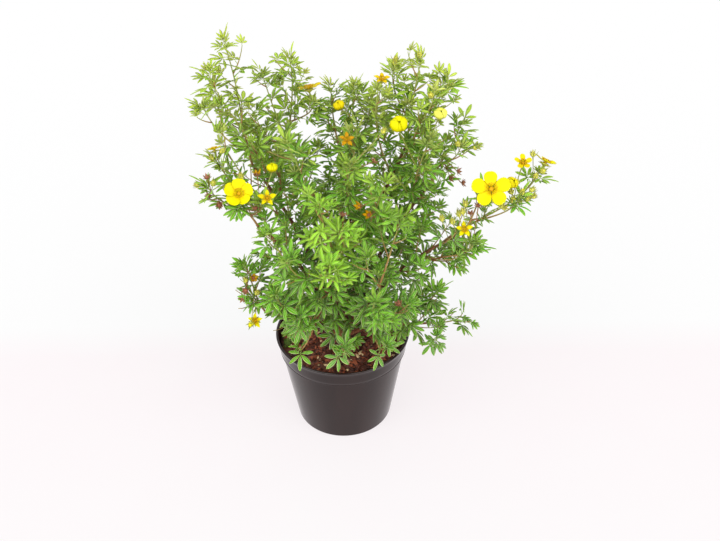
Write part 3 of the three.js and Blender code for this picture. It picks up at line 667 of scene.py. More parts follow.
@dataclass(frozen=True)
class CompostedBark(Finish):
    """Composted pine bark, shredded. The eye sees rust-brown flakes, dark where they are damp."""

    dark: str = "#2a1008"
    middle: str = "#6d321b"
    bright: str = "#a9572f"
    pale: str = "#d2b487"
    fibre_mm: float = 0.7
    patch_mm: float = 4.0
    ior: float = 1.45

    def paint(self, painter: Painter) -> None:
        """Paints each flake by its tone, with fibres along it and a few flakes of pale wood.

        Args:
            painter: The new material's painter.
        """
        tone = painter.mark(Mark.TONE)
        grain = painter.noise(self.fibre_mm, 5.0, (1, 0.35, 1))
        patch = painter.noise(self.patch_mm, 2.0)
        colour = painter.layer(self.dark, self.middle, tone, 0.0, 0.55)
        colour = painter.layer(colour, self.bright, tone, 0.5, 0.92)
        colour = painter.layer(colour, self.dark, patch, 0.42, 0.68, 0.5)
        colour = painter.layer(colour, self.pale, tone, 0.929, 0.931)
        painter.finish(
            Base_Color=painter.layer(colour, self.dark, grain, 0.4, 0.7, 0.35, "MULTIPLY"),
            Roughness=painter.stretch(patch, 0.3, 0.7, (0.55, 0.85)),
            Normal=painter.bump(grain, 0.3),
            IOR=self.ior,
        )


@dataclass(frozen=True)
class CoirFibre(Finish):
    """Coconut fibre, retted and dried. The eye sees thin tan and brown hairs on the bark."""

    dark: str = "#4a2716"
    light: str = "#a9764a"
    streak_mm: float = 2.0

    def paint(self, painter: Painter) -> None:
        """Paints each fibre by its tone, with faint streaks along it.

        Args:
            painter: The new material's painter.
        """
        streak = painter.stretch(painter.noise(self.streak_mm), 0.35, 0.65)
        share = painter.product(painter.mark(Mark.TONE), streak)
        painter.finish(Base_Color=painter.blend(share, self.dark, self.light), Roughness=0.8)


@dataclass(frozen=True)
class CushionMoss(Finish):
    """Living cushion moss. The eye sees a small dull green pad."""

    dark: str = "#2f4a17"
    light: str = "#7d9a3a"

    def paint(self, painter: Painter) -> None:
        """Paints each leaflet dark at its foot and light at its tip.

        Args:
            painter: The new material's painter.
        """
        tone = painter.stretch(painter.mark(Mark.TONE), 0, 1, (0.5, 1))
        share = painter.product(painter.mark(Mark.ALONG), tone)
        painter.finish(Base_Color=painter.blend(share, self.dark, self.light), Roughness=0.75)


@dataclass(frozen=True)
class PeelingBark(Finish):
    """Bark of old canes, which splits and peels in strips. The eye sees red-brown with grey edges."""

    deep: str = "#43220f"
    red: str = "#824c2b"
    peel: str = "#977d62"
    green: str = "#7c7040"
    strip_mm: float = 1.6
    lump_mm: float = 7.0
    ior: float = 1.46

    def paint(self, painter: Painter) -> None:
        """Paints long strips, paler where they lift, and greener towards the cane's end.

        Args:
            painter: The new material's painter.
        """
        strips = painter.noise(self.strip_mm, 4.0, (1, 1, 0.16))
        lumps = painter.noise(self.lump_mm, 3.0)
        colour = painter.layer(self.deep, self.red, strips, 0.35, 0.62)
        lifted = painter.product(painter.stretch(strips, 0.6, 0.72), painter.stretch(lumps, 0.45, 0.65))
        colour = painter.blend(lifted, colour, self.peel)
        painter.finish(
            Base_Color=painter.layer(colour, self.green, painter.mark(Mark.AGE), 0.55, 1.3),
            Roughness=0.78,
            Normal=painter.bump(strips, 0.5, painter.bump(lumps, 0.6)),
            IOR=self.ior,
        )


@dataclass(frozen=True)
class ShootSkin(Finish):
    """Skin of young shoots, silky with hairs. The eye sees tan and orange-brown turning green."""

    brown: str = "#6a4024"
    tan: str = "#9b7747"
    green: str = "#8d9648"
    streak_mm: float = 1.1

    def paint(self, painter: Painter) -> None:
        """Paints the shoot by its age, from brown at its foot to green at its tip.

        Args:
            painter: The new material's painter.
        """
        age = painter.mark(Mark.AGE)
        streaks = painter.noise(self.streak_mm, 3.0, (1, 1, 0.2))
        colour = painter.layer(self.brown, self.tan, age, 0.05, 0.45)
        colour = painter.layer(colour, self.green, age, 0.4, 0.85)
        painter.finish(
            Base_Color=painter.layer(colour, self.brown, streaks, 0.4, 0.7, 0.4),
            Roughness=0.62,
            Normal=painter.bump(streaks, 0.15),
            Specular_IOR_Level=0.25,
        )


@dataclass(frozen=True)
class LeafBlade(Finish):
    """Living leaf tissue with silky hairs. The eye sees a matt blade, paler at margin and rib."""

    old: str = "#3c6c10"
    middle: str = "#5c9a1c"
    young: str = "#a4b83e"
    vivid: str = "#80bf28"
    greyed: str = "#668a56"
    pale: str = "#cfdd98"
    margin: float = 0.6
    roughness: float = 0.55
    ior: float = 1.4
    gloss: float = 0.05
    glow: float = 0.4
    drift_mm: float = 38.0
    skin_mm: float = 0.8
    vein_mm: float = 1.3
    leaflet_mm: float = 20.0

    def paint(self, painter: Painter) -> None:
        """Paints a leaflet with pale margin and rib and fine side veins.

        Args:
            painter: The new material's painter.
        """
        breadth = painter.mark(Mark.BREADTH)
        skin = painter.bump(painter.noise(self.skin_mm, 2.0), 0.05)
        rough = (self.roughness - 0.06, self.roughness + 0.08)
        painter.finish(
            Base_Color=self.edged(painter, self.ground(painter), breadth),
            Roughness=painter.stretch(painter.mark(Mark.TONE), 0, 1, rough),
            Normal=painter.bump(self.veins(painter, breadth), 0.16, skin),
            IOR=self.ior,
            Specular_IOR_Level=self.gloss,
            Subsurface_Weight=self.glow,
            Subsurface_Radius=(0.8, 1.0, 0.2),
            Subsurface_Scale=2.0 * MM,
        )

    def ground(self, painter: Painter) -> Socket:
        """Colours the blade by its age and tone, greyed here and there where it is old.

        Args:
            painter: The material's painter.

        Returns:
            The socket with the colour.
        """
        age = painter.mark(Mark.AGE)
        # The old green is partly painted shade, as leaves lower on the shrub carry a lower age.
        colour = painter.layer(self.old, self.middle, age, 0.08, 0.5)
        colour = painter.layer(colour, self.young, age, 0.56, 1.0)
        colour = painter.layer(colour, self.vivid, age, 1.05, 1.25, 0.95)
        drift = painter.stretch(painter.noise(self.drift_mm, 2.0), 0.42, 0.66)
        grey = painter.product(painter.product(drift, painter.stretch(age, 0.45, 0.1)), 0.75)
        colour = painter.blend(grey, colour, self.greyed)
        shade = painter.stretch(painter.mark(Mark.TONE), 0, 1, (0.78, 1.24))
        tint = add_node(painter.tree, "ShaderNodeCombineXYZ", inputs={0: shade, 1: shade, 2: shade})
        return painter.blend(1.0, colour, tint.outputs[0], "MULTIPLY")

    def edged(self, painter: Painter, colour: Socket, breadth: Socket) -> Socket:
        """Adds the pale margin and rib.

        Args:
            painter: The material's painter.
            colour: The blade's colour.
            breadth: How far from the rib each place lies.

        Returns:
            The socket with the colour.
        """
        worn = painter.stretch(painter.mark(Mark.AGE), 0.2, 0.7, (1.4, 0.6))
        edge = painter.product(painter.stretch(breadth, 0.62, 0.9, (0, self.margin)), worn)
        rib = painter.stretch(breadth, 0.16, 0.0, (0, self.margin * 0.8))
        return painter.blend(painter.sums("MAXIMUM", edge, rib), colour, self.pale)

    def veins(self, painter: Painter, breadth: Socket) -> Socket:
        """Lays side veins that slant forward from the rib, wider apart than real ones so that they show.

        Args:
            painter: The material's painter.
            breadth: How far from the rib each place lies.

        Returns:
            The socket with their height.
        """
        along = painter.product(painter.mark(Mark.ALONG), self.leaflet_mm / self.vein_mm)
        slant = painter.sums("SUBTRACT", along, painter.product(breadth, 2.2))
        wave = painter.sums("SINE", painter.product(slant, FULL_TURN), 0.0)
        return painter.stretch(wave, 0.4, 1.0, (1, 0))


@dataclass(frozen=True)
class PetalTissue(Finish):
    """Living petal tissue, thin and waxy. The eye sees a clear satin yellow that ripens to orange."""

    fresh: str = "#c8b800"
    lit: str = "#c4bf02"
    ripe: str = "#b88d0a"
    faded: str = "#7c4812"
    heart: str = "#b58c03"
    washed: str = "#cdcf5e"
    gloss: float = 0.1
    streak_mm: float = 1.4

    def paint(self, painter: Painter) -> None:
        """Paints a petal by its ripeness, deeper at its claw and with faint lengthwise veins.

        Args:
            painter: The new material's painter.
        """
        along, age = painter.mark(Mark.ALONG), painter.mark(Mark.AGE)
        streak = painter.noise(self.streak_mm, 3.0)
        colour = painter.layer(self.fresh, self.lit, along, 0.2, 0.8)
        colour = painter.layer(colour, self.heart, along, 0.34, 0.05, 0.6)
        colour = painter.layer(colour, self.washed, painter.mark(Mark.TONE), 0.8, 1, 0.75)
        colour = painter.layer(colour, self.ripe, age, 0.1, 0.6)
        dry = painter.product(painter.stretch(age, 0.45, 1.1), painter.stretch(streak, 0.3, 0.65))
        painter.finish(
            Base_Color=painter.blend(dry, colour, self.faded),
            Roughness=0.45,
            Normal=painter.bump(streak, 0.12),
            IOR=1.4,
            Specular_IOR_Level=self.gloss,
            Subsurface_Weight=0.25,
            Subsurface_Radius=(1.0, 0.8, 0.2),
            Subsurface_Scale=1.0 * MM,
        )


@dataclass(frozen=True)
class PollenGold(Finish):
    """Anthers dusted with pollen. The eye sees a matt golden orange."""

    colour: str = "#c0920a"
    dark: str = "#85560f"
    patch_mm: float = 0.9
    grain_mm: float = 0.35

    def paint(self, painter: Painter) -> None:
        """Paints golden grains, browner where they are older.

        Args:
            painter: The new material's painter.
        """
        patches = painter.stretch(painter.noise(self.patch_mm), 0.3, 0.6)
        share = painter.product(painter.mark(Mark.AGE), patches)
        painter.finish(
            Base_Color=painter.blend(share, self.colour, self.dark),
            Roughness=0.7,
            Normal=painter.bump(painter.noise(self.grain_mm), 0.15),
            Specular_IOR_Level=0.15,
        )


@dataclass(frozen=True)
class DryCalyx(Finish):
    """Dead calyx and seed head, dried on the plant. The eye sees red-brown and dull straw."""

    red: str = "#935c3f"
    dark: str = "#58291b"
    straw: str = "#ab8d5c"
    wrinkle_mm: float = 0.9

    def paint(self, painter: Painter) -> None:
        """Paints dry tissue by its tone, darker in its wrinkles.

        Args:
            painter: The new material's painter.
        """
        wrinkle = painter.noise(self.wrinkle_mm, 4.0)
        colour = painter.layer(self.red, self.straw, painter.mark(Mark.TONE), 0.2, 1.0)
        colour = painter.layer(colour, self.dark, wrinkle, 0.4, 0.65, 0.7)
        painter.finish(Base_Color=colour, Roughness=0.85, Normal=painter.bump(wrinkle, 0.3))


@dataclass(frozen=True)
class StudioSheet(Finish):
    """White sheet lit from behind. The eye sees it almost white, with faint shadows and a breath of pink."""

    paper: str = "#626262"
    white: str = "#e4e4e4"
    blush: str = "#e4dddf"
    far_mm: float = 170.0
    near_mm: float = 100.0
    mottle_mm: float = 90.0

    def paint(self, painter: Painter) -> None:
        """Paints the sheet white with a faint, mottled blush in front of its bend.

        Args:
            painter: The new material's painter.
        """
        depth = add_node(painter.tree, "ShaderNodeSeparateXYZ", inputs={0: painter.place}).outputs[1]
        blush = painter.stretch(depth, self.far_mm * MM, self.near_mm * MM)
        mottle = painter.stretch(painter.noise(self.mottle_mm, 2.0), 0.3, 0.7, (0.85, 1))
        front = painter.stretch(depth, -0.3, 0.0, (0.5, 1))
        share = painter.product(painter.product(blush, mottle), front)
        painter.finish(
            Base_Color=linear(self.paper),
            Emission_Color=painter.blend(share, self.white, self.blush),
            Emission_Strength=1.0,
            Roughness=0.9,
            Specular_IOR_Level=0.0,
        )


POT_PLASTIC = MouldedPolypropylene("moulded polypropylene")
BARK_CHIPS = CompostedBark("composted bark")
COIR = CoirFibre("coir fibre")
MOSS = CushionMoss("cushion moss")
CANE_BARK = PeelingBark("peeling bark")
SHOOT_SKIN = ShootSkin("shoot skin")
LEAF_UPPER = LeafBlade("leaf upper side")
LEAF_UNDER = LeafBlade(
    "leaf under side", old="#5f8440", middle="#80a548", young="#b2bc62", vivid="#98bf50", margin=0.25
)
SEPAL_SKIN = LeafBlade(
    "sepal skin", old="#8f9648", middle="#b4b24c", young="#cfca58", vivid="#bcc048", margin=0.3
)
PETALS = PetalTissue("petal tissue")
POLLEN = PollenGold("pollen gold")
DRY_CALYX = DryCalyx("dry calyx")
STUDIO_SHEET = StudioSheet("studio sheet")


def grid_faces(rows: int, columns: int, closed: bool = True) -> Array:
    """Lists the triangles of a grid of points that runs row by row.

    Args:
        rows: How many rows of points there are.
        columns: How many points a row has.
        closed: Whether each row closes on itself.

    Returns:
        The triangles.
    """
    cells = columns if closed else columns - 1
    row, column = np.meshgrid(np.arange(rows - 1), np.arange(cells), indexing="ij")
    a = (row * columns + column).ravel()
    b = (row * columns + (column + 1) % columns).ravel()
    c, d = b + columns, a + columns
    return np.concatenate([np.stack([a, b, c], 1), np.stack([a, c, d], 1)])


def closed_faces(rings: int, columns: int) -> Array:
    """Lists the triangles of rings closed at both ends, each end by a point that follows the rings.

    Args:
        rings: How many rings there are.
        columns: How many points a ring has.

    Returns:
        The triangles.
    """
    count = rings * columns
    here, after = np.arange(columns), (np.arange(columns) + 1) % columns
    foot = np.stack([np.full(columns, count), after, here], 1)
    top = np.stack([here + count - columns, after + count - columns, np.full(columns, count + 1)], 1)
    return np.concatenate([grid_faces(rings, columns), foot, top])


@dataclass
class MeshDraft:
    """Points, faces and marks of one piece, gathered in millimetres before its mesh is made."""

    points: list[Array] = field(default_factory=list)
    faces: list[Array] = field(default_factory=list)
    numbers: list[Array] = field(default_factory=list)
    marks: dict[Mark, list[Array]] = field(default_factory=lambda: {mark: [] for mark in Mark})
    finishes: list[Finish] = field(default_factory=list)
    count: int = 0

    def add(self, points: Array, dressed: Sequence[tuple[Array, Finish]], **marks: Any) -> None:
        """Adds points with their faces.

        Args:
            points: Places, one row each.
            dressed: Triangles as rows of three point numbers, each set with its finish.
            **marks: For each mark by its small name, one number or one for each point.
        """
        self.points.append(points)
        for faces, finish in dressed:
            if finish not in self.finishes:
                self.finishes.append(finish)
            self.faces.append(faces + self.count)
            self.numbers.append(np.full(len(faces), self.finishes.index(finish)))
        for mark, rows in self.marks.items():
            rows.append(np.broadcast_to(np.asarray(marks.get(mark.value, 0.0), float), len(points)))
        self.count += len(points)

    def tube(
        self,
        line: StemLine,
        radius: Callable[[Array], Array],
        finish: Finish,
        sides: int,
        steps: int,
        bark: Callable[[Array, float], Array] | None = None,
        **marks: Any,
    ) -> None:
        """Adds a closed stem along a line.

        Args:
            line: The stem's middle line.
            radius: Its radius for shares of the line.
            finish: Its finish.
            sides: How many sides it has.
            steps: How many steps it takes.
            bark: A factor on the radius for turns at a share, if its surface isn't plain.
            **marks: Marks as a pair, at the foot and at the tip.
        """
        guide = np.cross(line.hooks[3] - line.hooks[0], UP)
        guide = guide if np.linalg.norm(guide) > 1e-6 else EAST
        shares, turns = np.linspace(0, 1, steps + 1), turns_of(sides)
        rings = []
        for share, width in zip(shares, radius(shares)):
            heading = line.heading(share)
            across = square_to(heading, guide)
            reach = width * (bark(turns, share) if bark else np.ones(sides))
            ring = np.outer(np.cos(turns) * reach, across)
            ring = ring + np.outer(np.sin(turns) * reach, np.cross(heading, across))
            rings.append(line.at(share) + ring)
        points = np.concatenate([*rings, [line.at(0)], [line.at(1)]])
        each = np.concatenate([np.repeat(shares, sides), [0.0, 1.0]])
        blended = {name: low + (high - low) * each for name, (low, high) in marks.items()}
        self.add(points, [(closed_faces(steps + 1, sides), finish)], along=each, **blended)

    def lathe(
        self,
        foot: Array,
        axis: Array,
        profile: Sequence[tuple[float, float]],
        finish: Finish,
        sides: int,
        ridge: float = 0.0,
        **marks: Any,
    ) -> None:
        """Adds a closed turned form, with five soft ridges if wanted.

        Args:
            foot: Where its axis starts.
            axis: The axis as a unit vector.
            profile: Radius and height pairs from foot to top.
            finish: Its finish.
            sides: How many sides it has.
            ridge: Depth of the ridges as a share of the radius.
            **marks: Marks of all its points.
        """
        across = across_of(axis)
        turns = turns_of(sides)
        swell = 1 + ridge * np.cos(PETAL_COUNT * turns)
        out = np.outer(np.cos(turns) * swell, across)
        out = out + np.outer(np.sin(turns) * swell, np.cross(axis, across))
        rings = [foot + axis * height + out * radius for radius, height in profile]
        ends = [foot + axis * profile[0][1], foot + axis * profile[-1][1]]
        self.add(np.concatenate([*rings, ends]), [(closed_faces(len(profile), sides), finish)], **marks)

    def make(self, name: str, replaces: str = "", smooth: bool = True) -> None:
        """Makes the piece and gives it to the frame.

        Args:
            name: The piece's name.
            replaces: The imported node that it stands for, if any.
            smooth: Whether its shading is smooth.
        """
        piece = bpy.data.objects.new(name, self.mesh(name, smooth))
        bpy.context.scene.collection.objects.link(piece)
        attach(piece, "root")
        if replaces:
            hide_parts(replaces)
        LOG.info("%s: %d faces", name, len(piece.data.polygons))

    def mesh(self, name: str, smooth: bool) -> bpy.types.Mesh:
        """Turns the draft into a mesh with its marks and materials.

        Args:
            name: The mesh's name.
            smooth: Whether its shading is smooth.

        Returns:
            The mesh.
        """
        points, faces = np.concatenate(self.points) * MM, np.concatenate(self.faces)
        mesh = bpy.data.meshes.new(name)
        mesh.vertices.add(len(points))
        mesh.vertices.foreach_set("co", points.astype(np.float32).ravel())
        mesh.loops.add(faces.size)
        mesh.loops.foreach_set("vertex_index", faces.astype(np.int32).ravel())
        mesh.polygons.add(len(faces))
        mesh.polygons.foreach_set("loop_start", np.arange(0, faces.size, 3, dtype=np.int32))
        mesh.polygons.foreach_set("material_index", np.concatenate(self.numbers).astype(np.int32))
        mesh.update(calc_edges=True)
        mesh.validate()
        for mark, rows in self.marks.items():
            values = np.concatenate(rows).astype(np.float32)
            mesh.attributes.new(mark.value, "FLOAT", "POINT").data.foreach_set("value", values)
        if smooth:
            mesh.shade_smooth()
        for finish in self.finishes:
            mesh.materials.append(finish.material())
        return mesh


@dataclass(frozen=True)
class BladeForm:
    """The form of a leaflet, sepal or bract, as shares of its own length and width.

    It is a thin closed lens. Both faces share the margin, and the under side has its own rib.
    """

    stations: tuple[float, ...] = (0.2, 0.48, 0.76, 0.93)
    breadths: tuple[float, ...] = (-1, -0.5, 0, 0.5, 1)
    widest: float = 0.56
    foot_curve: float = 1.15
    tip_curve: float = 0.6
    fold: float = 0.45
    roll: float = 0.9
    thickness: float = 0.4

    def half_width(self, along: Array) -> Array:
        """Works out the half width as a share of the widest.

        Args:
            along: Shares of the length.

        Returns:
            The half width at each.
        """
        rise = np.sin(math.pi / 2 * np.clip(along / self.widest, 0, 1)) ** self.foot_curve
        left = np.clip((along - self.widest) / (1 - self.widest), 0, 1)
        return np.where(along <= self.widest, rise, np.cos(math.pi / 2 * left) ** self.tip_curve)

    def pattern(self) -> tuple[Array, Array, Array, Array, Array]:
        """Lists the points of one blade and its triangles.

        Returns:
            Each point's share along, share across and whether it is on the under side, then the
            triangles of the upper and of the under side.
        """
        rows, columns = len(self.stations), len(self.breadths)
        along = np.concatenate([[0.0], np.repeat(self.stations, columns), [1.0], self.stations])
        across = np.concatenate([[0.0], np.tile(self.breadths, rows), [0.0], np.zeros(rows)])
        under = np.concatenate([np.zeros(rows * columns + 2), np.ones(rows)])
        tip = rows * columns + 1
        first = 1 + np.arange(columns)
        last = first + (rows - 1) * columns
        start, end = np.zeros(columns - 1, int), np.full(columns - 1, tip)
        foot_fan = np.stack([start, first[1:], first[:-1]], 1)
        tip_fan = np.stack([end, last[:-1], last[1:]], 1)
        upper = np.concatenate([foot_fan, grid_faces(rows, columns, False) + 1, tip_fan])
        return along, across, under, upper, self.under_faces(rows, columns, tip)

    @staticmethod
    def under_faces(rows: int, columns: int, tip: int) -> Array:
        """Lists the triangles between the margins and the under side's rib.

        Args:
            rows: How many stations there are.
            columns: How many points the upper side has at each.
            tip: The number of the tip's point.

        Returns:
            The triangles.
        """
        left = 1 + np.arange(rows) * columns
        right = left + columns - 1
        rib = tip + 1 + np.arange(rows)
        strips = [[0, left[0], rib[0]], [0, rib[0], right[0]]]
        strips += [[tip, rib[-1], left[-1]], [tip, right[-1], rib[-1]]]
        for i in range(rows - 1):
            strips += [[left[i], left[i + 1], rib[i + 1]], [left[i], rib[i + 1], rib[i]]]
            strips += [[rib[i], rib[i + 1], right[i + 1]], [rib[i], right[i + 1], right[i]]]
        return np.array(strips)


class Blade(NamedTuple):
    """One blade: its foot, its two directions, and its length, width, droop, tone and age."""

    origin: Array
    forward: Array
    upper: Array
    length: float
    width: float
    droop: float
    tone: float
    age: float


def add_blades(
    draft: MeshDraft, blades: Sequence[Blade], form: BladeForm, upper: Finish, under: Finish
) -> None:
    """Adds blades of one form to a piece.

    Args:
        draft: The piece's mesh.
        blades: The blades.
        form: Their form.
        upper: The finish of their upper sides.
        under: The finish of their under sides.
    """
    origin, ahead, above, length, width, droop, tone, age = (np.array(c, float) for c in zip(*blades))
    along, across, below, upper_faces, under_faces = form.pattern()
    half = form.half_width(along)
    wide = width[:, None] / 2 * half
    lift = form.fold * np.abs(across) - form.roll * np.clip(np.abs(across) - 0.5, 0, 1) ** 2
    height = wide * lift - droop[:, None] * length[:, None] * along**2
    height = height - below * form.thickness * np.sqrt(half)
    points = origin[:, None] + (length[:, None] * along)[..., None] * ahead[:, None]
    points = points + (wide * across)[..., None] * np.cross(ahead, above)[:, None]
    points = points + height[..., None] * above[:, None]
    count, each = len(blades), len(along)
    starts = (np.arange(count) * each)[:, None, None]
    sides = ((upper_faces, upper), (under_faces, under))
    draft.add(
        points.reshape(-1, 3),
        [((faces + starts).reshape(-1, 3), finish) for faces, finish in sides],
        tone=np.repeat(tone, each),
        age=np.repeat(age, each),
        breadth=np.tile(np.abs(across), count),
        along=np.tile(along, count),
    )


FINE_LEAFLET = BladeForm(stations=(0.12, 0.3, 0.5, 0.7, 0.86, 0.96))
LEAFLET = BladeForm(stations=(0.18, 0.45, 0.74, 0.93), breadths=(-1, 0, 1), fold=0.35, roll=0)
SEPAL = BladeForm(widest=0.3, tip_curve=1.1, fold=0.3, roll=0.2, thickness=0.5)
BRACT = BladeForm((0.3, 0.6, 0.85), (-1, 0, 1), widest=0.45, tip_curve=0.9, fold=0.35, roll=0)

# Leaflets as angle from the leaf's heading, length and width, in degrees and millimetres.
FULL_LEAF = ((-100, 15, 5), (-48, 18, 5.4), (0, 21, 5.8), (48, 18, 5.4), (100, 15, 5))
YOUNG_LEAF = ((-55, 14, 4.6), (0, 18, 5), (55, 14, 4.6))
FILL_LEAF = ((-84, 17, 5.4), (-40, 20, 6), (0, 22, 6.4), (40, 20, 6), (84, 17, 5.4))
TUFT_LEAF = ((-60, 12, 3.8), (-28, 15, 4.2), (0, 17, 4.4), (28, 15, 4.2), (60, 12, 3.8))


@dataclass(frozen=True)
class StarForm:
    """A ring of five blades round a head: how they point, where they start and how they look."""

    flare: float
    rise: float
    length: float
    width: float
    blade: BladeForm
    finish: Finish
    droop: float
    tone: float
    age: float


BUD_BRACTS = StarForm(0.95, 0.3, 8.0, 1.5, BRACT, SEPAL_SKIN, -0.25, 0.4, 0.2)
BUD_SEPALS = StarForm(0.75, 2.0, 5.6, 3.0, SEPAL, SEPAL_SKIN, -0.55, 0.6, 0.7)
SPENT_SEPALS = StarForm(1.3, 0.4, 5.5, 3.0, SEPAL, DRY_CALYX, -0.3, 0.35, 0.5)
SPENT_BRACTS = StarForm(2.2, 0.1, 5.0, 1.3, BRACT, DRY_CALYX, -0.1, 0.8, 0.5)
PETAL_RAGS = StarForm(0.9, 1.2, 7.5, 4.2, SEPAL, PETALS, -0.2, 0.5, 0.6)
CALYX_SEPALS = StarForm(3.0, 0, 5.5, 3.2, SEPAL, SEPAL_SKIN, 0.1, 0.5, 0.5)
CALYX_BRACTS = StarForm(3.0, -0.4, 5.5, 1.6, BRACT, SEPAL_SKIN, 0.1, 0.4, 0.3)

# Turned outlines as radius and height pairs from the foot up, in millimetres.
BUD_BODY = ((0.5, -0.2), (1.9, 0.5), (2.8, 1.6), (3.1, 2.9), (2.7, 4.3), (1.7, 5.5), (0.4, 6.3))
BUD_TIP = ((2.2, 3.4), (2.6, 4.8), (2.0, 6.4), (0.5, 7.4))
SEED_KNOB = ((0.6, -0.2), (1.8, 0.4), (2.3, 1.3), (2.1, 2.3), (1.3, 3.1), (0.3, 3.4))
ANTHER = ((0.1, -0.6), (0.58, -0.2), (0.58, 0.35), (0.1, 0.75))


@dataclass(frozen=True)
class LeafRules:
    """How leaves stand on a stem, in millimetres and degrees, as the solids have them."""

    back: tuple[float, ...] = (2, 7, 15, 36)
    lift: tuple[float, ...] = (24, 50, 62, 60)
    on_main: int = 4
    on_fork: int = 2
    petiole: tuple[float, float] = (5, 10)
    size: tuple[float, float] = (0.85, 1.12)
    lowest: float = 0.5
    droop: float = 0.1
    tries: int = 20


@dataclass(frozen=True)
class ClearRules:
    """Distances that keep blades clear of other growth, in millimetres."""

    blade: float = 3.3
    petiole: float = 0.9
    own_blade: float = 0.75
    stem: float = 0.7
    rim_radius: float = 95
    rim_height: float = 137
    stalk: float = 1.3


RULES = LeafRules()
CLEAR = ClearRules()


@dataclass
class Balls:
    """Places with radii that growth takes up, of one owner."""

    centres: Array
    radii: Array
    stems: Array
    owner: int

    @classmethod
    def of(cls, centres: Any, radii: Any, owner: int, stems: bool = False) -> "Balls":
        """Returns balls that share a radius or have one each, all of stems or none."""
        places = np.atleast_2d(np.asarray(centres, float))
        return cls(places, np.zeros(len(places)) + radii, np.full(len(places), stems), owner)


class Room:
    """The places that growth has taken up so far, sorted into cells so that a search is quick."""

    CELL = 26.0
    SMALL = 13.0

    def __init__(self) -> None:
        """Starts with room everywhere. Large balls are kept apart, as they reach over cells."""
        self.cells: dict[tuple[int, ...], Array] = {}
        self.large = np.zeros((0, 6))

    def take(self, balls: Balls) -> None:
        """Marks places as taken.

        Args:
            balls: The places.
        """
        owners = np.full(len(balls.radii), balls.owner)
        for row in np.column_stack([balls.centres, balls.radii, balls.stems, owners]):
            if row[3] > self.SMALL:
                self.large = np.vstack([self.large, row])
                continue
            cell = tuple(int(c) for c in row[:3] // self.CELL)
            known = self.cells.get(cell)
            self.cells[cell] = row[None] if known is None else np.vstack([known, row])

    def near(self, centres: Array) -> Array:
        """Lists the taken places near some centres.

        Args:
            centres: The centres.

        Returns:
            Rows of centre, radius, stem and owner.
        """
        low = ((centres.min(axis=0) - self.SMALL) // self.CELL).astype(int)
        high = ((centres.max(axis=0) + self.SMALL) // self.CELL).astype(int)
        spans = [range(low[i], high[i] + 1) for i in range(3)]
        found = [self.cells.get((x, y, z)) for x in spans[0] for y in spans[1] for z in spans[2]]
        return np.concatenate([self.large, *(rows for rows in found if rows is not None)])

    def is_clear(self, balls: Balls, looseness: float = 1.0) -> bool:
        """Tells whether balls are clear of the pot and of what grows there already.

        Args:
            balls: The places that would be taken.
            looseness: A factor on the distances that are kept.

        Returns:
            True where there is room.
        """
        out = np.hypot(balls.centres[:, 0], balls.centres[:, 1])
        if np.any((out < CLEAR.rim_radius) & (balls.centres[:, 2] < CLEAR.rim_height)):
            return False
        near = self.near(balls.centres)
        own = near[:, 5] == balls.owner
        skipped = own & ((near[:, 4] > 0) | balls.stems[:, None])
        share = np.where(own, CLEAR.own_blade, 1.0)
        limit = (balls.radii[:, None] + near[:, 3]) * share * looseness
        apart = ((balls.centres[:, None] - near[:, :3]) ** 2).sum(axis=2)
        return not np.any((apart < limit**2) & ~skipped)


@dataclass
class Leaf:
    """One leaf: its foot on the stem, hub, directions, size, leaflets, tone and age."""

    foot: Array
    hub: Array
    forward: Array
    upper: Array
    size: float
    leaflets: Leaflets
    tone: float = 0.5
    age: float | None = None

    def balls(self, owner: int) -> Balls:
        """Works out the room that the leaf takes: its petiole and three places on each leaflet.

        Args:
            owner: The number of the spray that it grows on.

        Returns:
            The balls.
        """
        side = np.cross(self.forward, self.upper)
        centres = [self.foot + (self.hub - self.foot) * 0.6]
        for angle, length, _ in self.leaflets:
            for part in (0.3, 0.6, 0.9):
                reach = length * self.size * part
                out = side * (math.sin(angle * DEGREE) * reach)
                ahead = self.forward * (math.cos(angle * DEGREE) * reach)
                centres.append(self.hub + out + ahead - self.upper * (RULES.droop * reach * part))
        balls = Balls.of(centres, CLEAR.blade, owner)
        balls.radii[0], balls.stems[0] = CLEAR.petiole, True
        return balls


@dataclass(frozen=True)
class LeafPlace:
    """What is asked of a leaf before chance varies it."""

    share: float
    turn: float
    lift: float
    petiole: tuple[float, float]
    size: tuple[float, float]
    leaflets: Leaflets
    sag: float = 0.45


def leaf_pose(line: StemLine, place: LeafPlace, random: Callable[[], float]) -> Leaf:
    """Stands one leaf on a stem.

    Args:
        line: The stem's line.
        place: What is asked of the leaf.
        random: The stream that varies it.

    Returns:
        The leaf.
    """
    foot, stem = line.stepped(place.share), line.heading(place.share)
    out = turned(stem, place.turn + (random() - 0.5) * 1.4)
    lift = place.lift * DEGREE + (random() - 0.5) * 0.4
    reach = stem * math.cos(lift) + out * math.sin(lift)
    petiole = place.petiole[0] + (place.petiole[1] - place.petiole[0]) * random()
    forward = unit(reach - UP * (place.sag * random()))
    flat = square_to(forward, stem * 0.6 + UP * 0.7 - out * 0.25)
    roll = random() - 0.5
    upper = flat * math.cos(roll) + np.cross(forward, flat) * math.sin(roll)
    size = place.size[0] + (place.size[1] - place.size[0]) * random()
    return Leaf(foot, foot + reach * petiole, forward, upper, size, place.leaflets)


